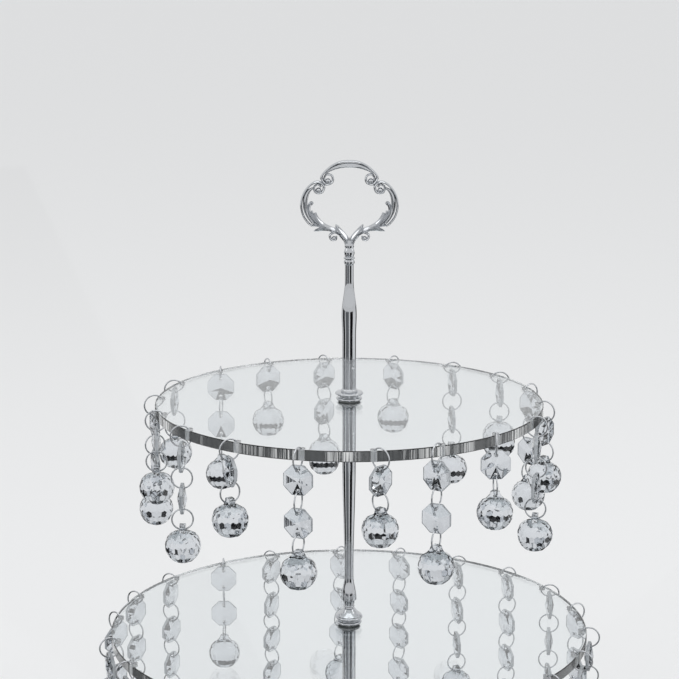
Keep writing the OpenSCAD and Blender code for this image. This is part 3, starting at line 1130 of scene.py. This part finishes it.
@dataclass
class Grip:
    """The cast openwork grip: three C-scrolls with curled ends, leaves, and a forked trunk."""

    depth: float = 4.2
    rim: float = 1.2
    # A curled end's width and depth, and the crown band's depth, as shares of the rim and depth
    curl_share: Point = (1.3, 0.85)
    crown_share: float = 0.78
    # How low a pearl sits and how far it stands out, as shares of its radius
    pearl_drop: float = 0.75
    pearl_bulge: float = 1.35

    # One half, right of the stem, measured from the foot of the grip
    top_end: Point = (10.8, 35.2)
    side_end: Point = (15.6, 30.5)
    hook_end: Point = (7.8, 5.7)

    def arch(self) -> list[Station]:
        """The right half of the top scroll's rim, from the crown down into its curled end.

        Returns:
            Its stations, from the crown to the curled tip.
        """
        rim, deep = self.rim, self.depth
        down = [
            (0.0, 44.15, rim, deep), (4.3, 43.75, rim, deep), (8.4, 42.0, rim, deep), (11.6, 39.5, rim, deep),
            (13.6, 37.2, rim, deep),
        ]
        wide, thick = self.curl_share
        radii = (3.2, 2.9, 2.7, 2.55, 2.3, 1.9, 1.4)
        return down + curl(self.top_end, radii, 0, -430, (rim * wide, deep * thick))

    def side(self) -> list[Station]:
        """The side scroll's rim, from its foot up, round and into its curled end.

        Returns:
            Its stations, from the foot to the curled tip.
        """
        rim, deep = self.rim, self.depth
        up = [
            (18.6, 11.0, rim * 0.8, deep * 0.7), (20.7, 12.6, rim, deep * 0.9), (22.9, 15.6, rim, deep),
            (24.1, 19.0, rim, deep), (24.35, 22.6, rim, deep), (23.6, 26.4, rim, deep),
            (21.7, 29.9, rim, deep), (19.0, 32.6, rim, deep),
        ]
        wide, thick = self.curl_share
        radii = (3.1, 2.9, 2.75, 2.6, 2.3, 1.9, 1.4)
        return up + curl(self.side_end, radii, 85, 515, (rim * wide, deep * thick))

    def members(self) -> list[tuple[Section, list[Station]]]:
        """Every other member of the right half: inner bands, strands, leaves and hook.

        Returns:
            Each member's cross-section and stations.
        """
        # Place across and up, full width, and depth as a share of the grip's
        rows: list[tuple[Section, list[Station]]] = [
            # Inner band of the side scroll
            (Section.BAND, [
                (18.4, 30.6, 0.9, 0.6), (20.5, 29.0, 1.9, 0.75), (21.9, 26.2, 2.4, 0.8),
                (22.35, 22.6, 2.4, 0.8), (22.0, 19.0, 2.1, 0.75), (20.6, 15.6, 1.7, 0.7),
                (18.5, 12.6, 1.3, 0.6),
            ]),
            # Long strand that closes the loop, from its free tip down to the trunk
            (Section.LEAF, [
                (17.4, 18.0, 1.5, 0.6), (16.8, 15.9, 2.0, 0.75), (15.2, 13.3, 2.43, 0.8),
                (12.6, 11.1, 2.69, 0.85), (9.6, 9.6, 2.82, 0.9), (6.9, 8.6, 2.82, 0.95),
                (4.6, 7.2, 2.5, 0.9), (2.9, 4.9, 1.8, 0.8), (1.9, 2.4, 1.4, 0.75),
                (1.5, 0.3, 1.2, 0.7),
            ]),
            # Curled leaf inside the side scroll
            (Section.LEAF, [
                (18.5, 22.2, 1.7, 0.75), (19.4, 22.9, 1.9, 0.8), (20.5, 20.6, 1.8, 0.75),
                (20.4, 18.0, 1.8, 0.75), (19.4, 15.4, 1.79, 0.75), (17.2, 12.8, 1.92, 0.75),
                (14.6, 11.2, 1.54, 0.7),
            ]),
            # Short leaf between them
            (Section.LEAF, [
                (18.9, 19.0, 1.0, 0.5), (18.7, 16.9, 1.41, 0.65), (17.5, 14.6, 1.79, 0.75),
                (15.4, 12.3, 1.54, 0.7),
            ]),
            # Upper and lower outer leaves
            (Section.LEAF, [
                (19.3, 11.1, 0.51, 0.4), (17.9, 11.6, 1.54, 0.65), (16.0, 11.6, 2.05, 0.75),
                (13.8, 10.9, 1.79, 0.75), (11.6, 10.2, 1.28, 0.7),
            ]),
            (Section.LEAF, [
                (18.0, 8.5, 0.51, 0.4), (16.3, 9.1, 1.54, 0.65), (13.8, 9.6, 2.05, 0.75),
                (11.2, 9.4, 1.79, 0.75), (8.6, 8.9, 1.28, 0.7),
            ]),
            # Hook under the strand
            (Section.ROUND, [
                (5.6, 8.4, 1.54, 0.7),
                *curl(self.hook_end, (2.25, 2.2, 2.05, 1.8, 1.3), 95, -195, (1.45, 0.8)),
            ]),
            # Broad leaf of the V
            (Section.LEAF, [
                (6.9, 12.0, 0.5, 0.55), (6.1, 10.5, 2.0, 0.85), (4.7, 8.2, 3.1, 1.0),
                (2.9, 5.9, 3.5, 1.04), (1.5, 4.0, 3.2, 1.04), (1.0, 2.0, 2.7, 1.0),
                (0.9, 0.0, 2.5, 0.95),
            ]),
        ]
        return [
            (section, [(x, z, width, self.depth * share) for x, z, width, share in stations])
            for section, stations in rows
        ]

    def pearl(self, bm: BMesh, centre: Point, base: float, radius: float) -> None:
        """Sets a pearl low in a curled end.

        Args:
            bm: The mesh that takes it.
            centre: The curled end's centre.
            base: Height of the grip's foot.
            radius: The pearl's radius.
        """
        place = Matrix.Translation((centre[0], 0, base + centre[1] - radius * self.pearl_drop))
        squash = Matrix.Diagonal((1, self.pearl_bulge, 1, 1))
        bmesh.ops.create_icosphere(bm, subdivisions=3, radius=radius, matrix=place @ squash)

    def build(self, shop: Workshop, finish: Finishes) -> None:
        """Sweeps the members of one half, mirrors them and adds the crown and trunk.

        Args:
            shop: Finishes the piece.
            finish: The materials.
        """
        base = box_mm("grip")[0].z
        bm = bmesh.new()
        for section, stations in self.members():
            sweep(bm, section, stations, base)
        sweep(bm, Section.ROUND, self.side(), base)
        for centre, radius in ((self.top_end, 1.5), (self.side_end, 1.5), (self.hook_end, 1.25)):
            self.pearl(bm, centre, base, radius)
        copied = bmesh.ops.duplicate(bm, geom=bm.verts[:] + bm.edges[:] + bm.faces[:])
        bmesh.ops.scale(bm, vec=(-1, 1, 1), verts=new_part(copied, BMVert))
        half = self.arch()
        left = [(-x, z, width, deep) for x, z, width, deep in reversed(half[1:])]
        sweep(bm, Section.ROUND, left + half, base)
        deep = self.depth * self.crown_share
        crown = [
            (12.2, 37.9, 0.8, deep * 0.7), (10.3, 39.4, 1.6, deep * 0.85), (7.6, 40.8, 2.1, deep),
            (3.9, 41.8, 2.4, deep), (0.0, 42.1, 2.5, deep),
        ]
        inner = crown + [(-x, z, width, thick) for x, z, width, thick in reversed(crown[:-1])]
        sweep(bm, Section.BAND, inner, base)
        bmesh.ops.recalc_face_normals(bm, faces=bm.faces[:])
        trunk = [(0, 0), (2.2, 0), (2.45, 0.4), (2.3, 1.6), (1.7, 3.4), (0.9, 4.6), (0, 5.0)]
        lathe(bm, trunk, base, steps=48)
        shop.piece(bm, "openwork_grip", finish.cast, stands_for=["grip"], crease=50)


# Strings of glass


@dataclass
class Glasswork:
    """The octagon bead, the drop ball and the wire ring, each made once and hung many times."""

    ring_r: float = 5.25
    wire_r: float = 0.4
    seat_gap: float = 0.07
    bead_af: float = 14.6
    bead_t: float = 5.0
    bead_edge: float = 1.6
    hole_r: float = 0.95
    hole_at: float = 5.0
    # Half the length of a bead's hole, on the side that a ring pulls against
    bead_mouth: float = 1.233
    ball_r: float = 9.0
    ball_inner_r: float = 8.7
    nub_top: float = 11.0
    nub_hole: float = 8.0
    nub_t: float = 3.0
    facet_break: float = 0.22
    # Edges that bend more than this are broken, apart from those this near a hole's wall
    ridge_deg: float = 10.0
    hole_margin: float = 0.3
    # Faces that lean more than this, and lie no further in from the outside, are the girdle
    girdle_lean: float = 0.75
    girdle_inset: float = 0.6

    def below_ring(self, mouth: float, hole_at: float) -> float:
        """Works out how far a piece hangs below the middle of its ring.

        Args:
            mouth: Half the length of the piece's hole.
            hole_at: Height of the hole above the piece's middle.

        Returns:
            The distance between the two middles.
        """
        rise = self.ring_r - sqrt(self.ring_r**2 - mouth**2)
        return self.ring_r + self.hole_r - self.wire_r - rise - self.seat_gap + hole_at

    @property
    def ring_to_bead(self) -> float:
        """From the middle of a ring to the middle of the bead in it."""
        return self.below_ring(self.bead_mouth, self.hole_at)

    @property
    def ring_to_ball(self) -> float:
        """From the middle of the last ring to the middle of the ball."""
        return self.below_ring(self.nub_t / 2, self.nub_hole)

    def half_thickness(self, place: Vector) -> float:
        """Half the bead's thickness over a place in its face."""
        reach = max(place.x * cos(k * pi / 4) + place.y * sin(k * pi / 4) for k in range(8))
        return self.bead_t / 2 - (self.bead_t - self.bead_edge) * reach / self.bead_af

    def octagon(self) -> BMesh:
        """Fills an eight-sided star face round its two holes, and joins it to its mirror image.

        Returns:
            The bead, standing in YZ.
        """
        bm = bmesh.new()
        corner_r = self.bead_af / 2 / cos(pi / 8)
        turned = Matrix.Rotation(pi / 8, 4, "Z")
        rim = bmesh.ops.create_circle(bm, segments=8, radius=corner_r, matrix=turned)["verts"]
        middle = bm.verts.new((0, 0, 0))
        spokes = {v: bm.edges.new((middle, v)) for v in rim}
        for edge in [e for e in bm.edges if middle not in e.verts]:
            bounds = [edge, *(spokes[v] for v in edge.verts)]
            centre = (edge.verts[0].co + edge.verts[1].co) / 2
            if abs(centre.x) < TOUCH:
                place = Matrix.Translation((0, self.hole_at if centre.y > 0 else -self.hole_at, 0))
                hole = bmesh.ops.create_circle(bm, segments=20, radius=self.hole_r, matrix=place)["verts"]
                bounds += edges_at(hole)
                bmesh.ops.triangle_fill(bm, use_beauty=True, edges=bounds, normal=(0, 0, 1))
            else:
                bmesh.ops.contextual_create(bm, geom=bounds)
        for vert in bm.verts:
            vert.co.z = self.half_thickness(vert.co)
        copied = bmesh.ops.duplicate(bm, geom=bm.verts[:] + bm.edges[:] + bm.faces[:])
        bmesh.ops.scale(bm, vec=(1, 1, -1), verts=new_part(copied, BMVert))
        border = [e for e in bm.edges if e.is_boundary]
        holes = [e for e in border if self.by_hole(e)]
        bmesh.ops.bridge_loops(bm, edges=[e for e in border if e not in holes])
        for side in (1, -1):
            bmesh.ops.bridge_loops(bm, edges=[e for e in holes if e.verts[0].co.y * side > 0])
        bmesh.ops.recalc_face_normals(bm, faces=bm.faces[:])
        bent = radians(self.ridge_deg)
        ridges = [e for e in bm.edges if bent < e.calc_face_angle() and not self.by_hole(e)]
        break_edges(bm, ridges, self.facet_break)
        for face in bm.faces:
            inside = face.calc_center_median().xy.length < self.bead_af / 2 - self.girdle_inset
            face.material_index = int(abs(face.normal.z) < self.girdle_lean and not inside)
        bmesh.ops.transform(bm, matrix=UPRIGHT, verts=bm.verts[:])
        return bm

    def by_hole(self, edge: BMEdge) -> bool:
        """Whether an edge of the bead, drawn in XY, belongs to one of its holes.

        Args:
            edge: The edge.

        Returns:
            True where both its ends lie by the wall of a hole.
        """
        near = self.hole_r + self.hole_margin
        return all(
            min((v.co.xy - Vector((0, side * self.hole_at))).length for side in (1, -1)) < near
            for v in edge.verts
        )

    def ball(self) -> BMesh:
        """Cuts a block flat by flat into a faceted ball.

        Returns:
            The ball about the origin, its crown of small facets upwards.
        """
        # Latitude of a row of facets, how many, its turn as a share of one facet, and its share of the radius
        rows = (
            (90, 1, 0.0, 0.8), (60, 8, 0.0, 0.935), (41, 16, 0.5, 1.0), (19, 16, 0.0, 1.0),
            (-4, 16, 0.5, 1.0), (-25, 16, 0.0, 1.0), (-46, 12, 0.5, 1.0), (-68, 8, 0.0, 1.0),
            (-90, 1, 0.0, 1.0),
        )
        bm = bmesh.new()
        bmesh.ops.create_cube(bm, size=2.2 * self.ball_inner_r)
        for latitude, count, offset, share in rows:
            for k in range(count):
                up, round_ = radians(latitude), tau * (k + offset) / count
                normal = Vector((cos(up) * cos(round_), cos(up) * sin(round_), sin(up)))
                cut = bmesh.ops.bisect_plane(
                    bm, geom=bm.verts[:] + bm.edges[:] + bm.faces[:], dist=1e-5,
                    plane_co=normal * self.ball_inner_r * share, plane_no=normal, clear_outer=True,
                )
                edges = [e for e in cut["geom_cut"] if isinstance(e, BMEdge)]
                if len(edges) > 2:
                    bmesh.ops.contextual_create(bm, geom=edges)
        bmesh.ops.recalc_face_normals(bm, faces=bm.faces[:])
        return bm

    def nub(self) -> BMesh:
        """A facet-topped lug that flares into the ball's crown, with a hole through it.

        Returns:
            The lug, standing in YZ with its hole along X.
        """
        bm = bmesh.new()
        top = self.nub_top
        half = [(1.3, top), (2.2, top - 0.6), (2.7, top - 2.2), (4.4, top - 4.2), (4.0, top - 6.0)]
        outline = [bm.verts.new((x, y, 0)) for x, y in half + [(-x, y) for x, y in reversed(half)]]
        for pair in zip(outline, outline[1:] + outline[:1]):
            bm.edges.new(pair)
        place = Matrix.Translation((0, self.nub_hole, 0))
        bmesh.ops.create_circle(bm, segments=20, radius=self.hole_r, matrix=place)
        bmesh.ops.triangle_fill(bm, use_beauty=True, edges=bm.edges[:], normal=(0, 0, 1))
        bmesh.ops.translate(bm, vec=(0, 0, -self.nub_t / 2), verts=bm.verts[:])
        risen = bmesh.ops.extrude_face_region(bm, geom=bm.faces[:])
        bmesh.ops.translate(bm, vec=(0, 0, self.nub_t), verts=new_part(risen, BMVert))
        bmesh.ops.recalc_face_normals(bm, faces=bm.faces[:])
        bmesh.ops.transform(bm, matrix=UPRIGHT, verts=bm.verts[:])
        return bm

    def drop(self) -> bpy.types.Mesh:
        """Fuses the ball and its lug into one closed mesh, in millimetres.

        Returns:
            The closed mesh.
        """
        ball = in_scene("ball", as_mesh(self.ball(), "ball"))
        nub = in_scene("nub", as_mesh(self.nub(), "nub"))
        join = ball.modifiers.new("join", "BOOLEAN")
        join.operation, join.object, join.solver = "UNION", nub, "EXACT"
        graph = bpy.context.evaluated_depsgraph_get()
        fused = bpy.data.meshes.new_from_object(ball.evaluated_get(graph))
        for part in (ball, nub):
            bpy.data.objects.remove(part)
        return fused

    def ring(self) -> BMesh:
        """Spins a wire's section into a link ring that stands in XZ.

        Returns:
            The ring about the origin.
        """
        bm = bmesh.new()
        place = Matrix.Translation((self.ring_r, 0, 0))
        wire = bmesh.ops.create_circle(bm, segments=12, radius=self.wire_r, matrix=place)["verts"]
        edges = edges_at(wire)
        bmesh.ops.spin(
            bm, geom=wire + edges, cent=(0, 0, 0), axis=(0, 1, 0), angle=tau, steps=48, use_merge=True
        )
        bmesh.ops.recalc_face_normals(bm, faces=bm.faces[:])
        return bm


@dataclass
class GlassString:
    """One string: rings and octagon beads in turn under a hook ring, ending in a ball."""

    work: Glasswork
    body: str
    hook: Vector
    outwards: float
    link_turn: float = 6.0
    # Degrees that the turn's wave moves on from string to string, and from piece to piece
    string_step: float = 97.0
    link_step: float = 61.0

    @property
    def place(self) -> int:
        """The string's number on its tray."""
        return int(self.body[-2:])

    @property
    def beads(self) -> int:
        """The number of octagon beads that its height holds.

        Returns:
            How many.
        """
        low, high = box_mm(self.body)
        work = self.work
        chain = high.z - low.z - work.ring_r - work.wire_r - work.ring_to_ball - work.ball_r
        return round(chain / (2 * work.ring_to_bead))

    def turned(self, link: int, drop: float) -> Matrix:
        """Where link number link hangs, drop below the hook ring's middle.

        Args:
            link: Number of the piece, which sets its small turn; 1 hangs straight.
            drop: Distance below the hook ring's middle.

        Returns:
            The piece's place and turn.
        """
        wave = radians(self.string_step * self.place + self.link_step * link)
        twist = 0.0 if link == 1 else self.link_turn * sin(wave)
        return (
            Matrix.Translation(self.hook - Vector((0, 0, drop)))
            @ Matrix.Rotation(self.outwards + radians(twist), 4, "Z")
        )

    def build(
        self, shop: Workshop, finish: Finishes,
        octagon: bpy.types.Mesh, ball: bpy.types.Mesh, ring: bpy.types.Mesh,
    ) -> None:
        """Hangs copies of the three pieces as one mesh of glass and one of wire.

        Args:
            shop: Finishes the pieces.
            finish: The materials.
            octagon: The bead's mesh, in millimetres.
            ball: The ball's mesh.
            ring: The link ring's mesh.
        """
        glass, wire = bmesh.new(), bmesh.new()
        pitch = 2 * self.work.ring_to_bead
        self.hang(wire, ring, self.turned(1, 0))
        for k in range(1, self.beads + 1):
            self.hang(glass, octagon, self.turned(2 * k, (k - 0.5) * pitch))
            self.hang(wire, ring, self.turned(2 * k + 1, k * pitch))
        self.hang(glass, ball, self.turned(1, self.beads * pitch + self.work.ring_to_ball))
        cut = shop.piece(
            glass, f"{self.body}_glass", finish.crystal, self.body, [self.body], crease=None
        )
        cut.data.materials.append(finish.girdle)
        shop.piece(wire, f"{self.body}_rings", finish.wire, self.body, crease=60)

    @staticmethod
    def hang(bm: BMesh, mesh: bpy.types.Mesh, place: Matrix) -> None:
        """Adds a copy of a mesh at a place.

        Args:
            bm: The mesh that takes the copy.
            mesh: The mesh to copy.
            place: Its place and turn.
        """
        before = len(bm.verts)
        bm.from_mesh(mesh)
        bm.verts.ensure_lookup_table()
        bmesh.ops.transform(bm, matrix=place, verts=bm.verts[before:])


def hang_strings(shop: Workshop, finish: Finishes) -> None:
    """Hangs every string from its joint.

    Args:
        shop: Finishes the pieces.
        finish: The materials.
    """
    work = Glasswork()
    octagon, ring, ball = as_mesh(work.octagon(), "octagon"), as_mesh(work.ring(), "ring"), work.drop()
    for joint in frame["joints"]:
        axis = joint["axis"]
        hook = Vector(joint["pos_m"]) / MM
        string = GlassString(work, joint["child"], hook, atan2(axis[0], -axis[1]))
        string.build(shop, finish, octagon, ball, ring)


# Studio


@dataclass(frozen=True)
class Flag:
    """A dark card: an edge swept round the stand, in degrees from the front towards the right.

    The edge's ends are (distance from the axis, height), in metres.
    """

    name: str
    first: float
    last: float
    start: Point
    end: Point
    tone: str = "#17181A"
    in_metal: bool = False


# Upright metal seen from above mirrors the floor, so its flags lie there; those for glass stand round it
LYING = ((0.02, 0.0005), (3.0, 0.0005))
FLAGS = (
    Flag("right_flag", 12, 58, *LYING, in_metal=True),
    Flag("right_rear_flag", 118, 152, *LYING, in_metal=True),
    Flag("left_grey_flag", -60, -6, *LYING, "#6E7174", True),
    Flag("left_flag", -116, -72, *LYING, in_metal=True),
    Flag("left_rear_flag", -168, -146, *LYING, in_metal=True),
    Flag("right_glass_flag", 50, 110, (0.85, 0.2), (0.85, 0.7)),
    Flag("left_glass_flag", -110, -50, (0.85, 0.2), (0.85, 0.7)),
    Flag("rear_glass_flag", 135, 225, (0.85, 0.2), (0.85, 0.34)),
    Flag("upper_glass_flag", 0, 360, (0.85, 0.86), (0.85, 1.08)),
)


@dataclass(frozen=True)
class Lamp:
    """A soft rectangular lamp: its place, its width and height in metres, and its power in watts."""

    name: str
    place: Place
    size: Point
    watts: float


LAMPS = (
    Lamp("overhead_lamp", (0.0, -0.2, 1.9), (1.4, 1.4), 5.0),
    Lamp("left_lamp", (-1.9, -0.6, 1.5), (0.5, 1.4), 2.6),
    Lamp("right_lamp", (1.9, -0.4, 1.5), (0.5, 1.4), 2.6),
)


@dataclass
class Studio:
    """A pale floor and surround, soft lamps, flags and the camera."""

    floor_colour: str = "#EFF0F1"
    backdrop: str = "#E4E5E6"
    floor_size: float = 60.0
    fill: float = 0.84
    focal_mm: float = 106.7
    sensor_mm: float = 36.0
    camera_at: Place = (-0.005, -1.0098, 0.5032)
    target: Place = (-0.005, 0.0, 0.2854)
    lamp_target: Place = (0.0, 0.0, 0.25)

    def build(self) -> None:
        """Sets up the floor, surround, lamps, flags, camera and view."""
        scene = bpy.context.scene
        scene.view_settings.view_transform = "Standard"
        self.floor()
        self.surround()
        for lamp in LAMPS:
            self.hang(lamp)
        self.flags()
        camera = bpy.data.cameras.new("camera")
        camera.lens, camera.sensor_width = self.focal_mm, self.sensor_mm
        holder = in_scene("camera", camera)
        holder.location = self.camera_at
        holder.rotation_euler = self.facing(self.camera_at, self.target)
        scene.camera = holder

    @staticmethod
    def facing(place: Place, target: Place) -> Euler:
        """The turn that points a camera or lamp at a target."""
        return (Vector(target) - Vector(place)).to_track_quat("-Z", "Y").to_euler()

    def floor(self) -> None:
        """Lays the plain matte floor."""
        bm = bmesh.new()
        bmesh.ops.create_grid(bm, x_segments=1, y_segments=1, size=self.floor_size / 2)
        mesh = as_mesh(bm, "studio_floor")
        plane = in_scene("studio_floor", mesh)
        material, tree = new_tree("studio floor paint")
        shader = add_node(
            tree, "ShaderNodeBsdfPrincipled",
            Base_Color=linear(self.floor_colour), Roughness=0.9, Specular_IOR_Level=0.1,
        )
        add_node(tree, "ShaderNodeOutputMaterial", {"Surface": shader.outputs["BSDF"]})
        mesh.materials.append(material)

    @staticmethod
    def flag_paint(flag: Flag) -> bpy.types.Material:
        """Mixes the dull paint of a flag. One for the metal is clear to all but mirrored rays.

        Args:
            flag: The flag.

        Returns:
            Its material.
        """
        material, tree = new_tree(f"studio {flag.name} paint")
        shader = add_node(
            tree, "ShaderNodeBsdfPrincipled",
            Base_Color=linear(flag.tone), Roughness=1.0, Specular_IOR_Level=0.0,
        )
        paint = shader.outputs["BSDF"]
        if flag.in_metal:
            path = add_node(tree, "ShaderNodeLightPath")
            mirrored = add_node(
                tree, "ShaderNodeMath", {0: path.outputs["Glossy Depth"]}, operation="GREATER_THAN"
            )
            mirrored.inputs[1].default_value = 0.5
            clear = add_node(tree, "ShaderNodeBsdfTransparent")
            mix = add_node(
                tree, "ShaderNodeMixShader", {0: mirrored.outputs[0], 1: clear.outputs[0], 2: paint}
            )
            paint = mix.outputs[0]
        add_node(tree, "ShaderNodeOutputMaterial", {"Surface": paint})
        return material

    def flags(self) -> None:
        """Sets dark flags round the stand, to give metal its lines and glass its edges."""
        for flag in FLAGS:
            bm = bmesh.new()
            turn = Matrix.Rotation(radians(flag.first), 3, "Z")
            ends = [bm.verts.new(turn @ Vector((0, -far, high))) for far, high in (flag.start, flag.end)]
            bmesh.ops.spin(
                bm, geom=[*ends, bm.edges.new(ends)], cent=(0, 0, 0), axis=(0, 0, 1),
                angle=radians(flag.last - flag.first), steps=36,
            )
            mesh = as_mesh(bm, f"studio_{flag.name}")
            mesh.materials.append(self.flag_paint(flag))
            made = in_scene(f"studio_{flag.name}", mesh)
            for kind in ("camera", "diffuse", "volume_scatter", "shadow"):
                setattr(made, f"visible_{kind}", False)
            made.visible_glossy = flag.in_metal

    def surround(self) -> None:
        """Paints the surround: pale where it is seen, also in metal and glass, and a plain light."""
        world = bpy.data.worlds.new("studio surround")
        bpy.context.scene.world = world
        world.use_nodes = True
        tree = world.node_tree
        tree.nodes.clear()
        path = add_node(tree, "ShaderNodeLightPath")
        mirrored = add_node(
            tree, "ShaderNodeMath",
            {0: path.outputs["Is Glossy Ray"], 1: path.outputs["Is Transmission Ray"]}, operation="MAXIMUM",
        )
        seen = add_node(
            tree, "ShaderNodeMath",
            {0: path.outputs["Is Camera Ray"], 1: mirrored.outputs[0]}, operation="MAXIMUM",
        )
        backdrop = add_node(tree, "ShaderNodeBackground", Color=linear(self.backdrop), Strength=1.0)
        light = add_node(tree, "ShaderNodeBackground", Color=linear("#FFFFFF"), Strength=self.fill)
        mix = add_node(
            tree, "ShaderNodeMixShader", {0: seen.outputs[0], 1: light.outputs[0], 2: backdrop.outputs[0]}
        )
        add_node(tree, "ShaderNodeOutputWorld", {"Surface": mix.outputs[0]})

    def hang(self, lamp: Lamp) -> None:
        """Hangs a lamp that faces the stand.

        Args:
            lamp: The lamp.
        """
        light = bpy.data.lights.new(lamp.name, "AREA")
        light.shape, light.energy = "RECTANGLE", lamp.watts
        light.size, light.size_y = lamp.size
        holder = in_scene(lamp.name, light)
        holder.location = lamp.place
        holder.rotation_euler = self.facing(lamp.place, self.lamp_target)
        holder.visible_camera = False


def main() -> None:
    """Builds the stand and its studio."""
    logging.basicConfig(level=logging.INFO, format="%(message)s")
    shop, finish = Workshop(), Finishes()
    Studio().build()
    Tray("upper_tray", 18, 6.5).build(shop, finish)
    Tray("middle_tray", 22, 3.5).build(shop, finish)
    Tray("base_tray").build(shop, finish)
    Stem().build(shop, finish)
    Fixings().build(shop, finish)
    Grip().build(shop, finish)
    hang_strings(shop, finish)
    log.info("%d pieces", shop.count)


if __name__ == "__main__":
    main()
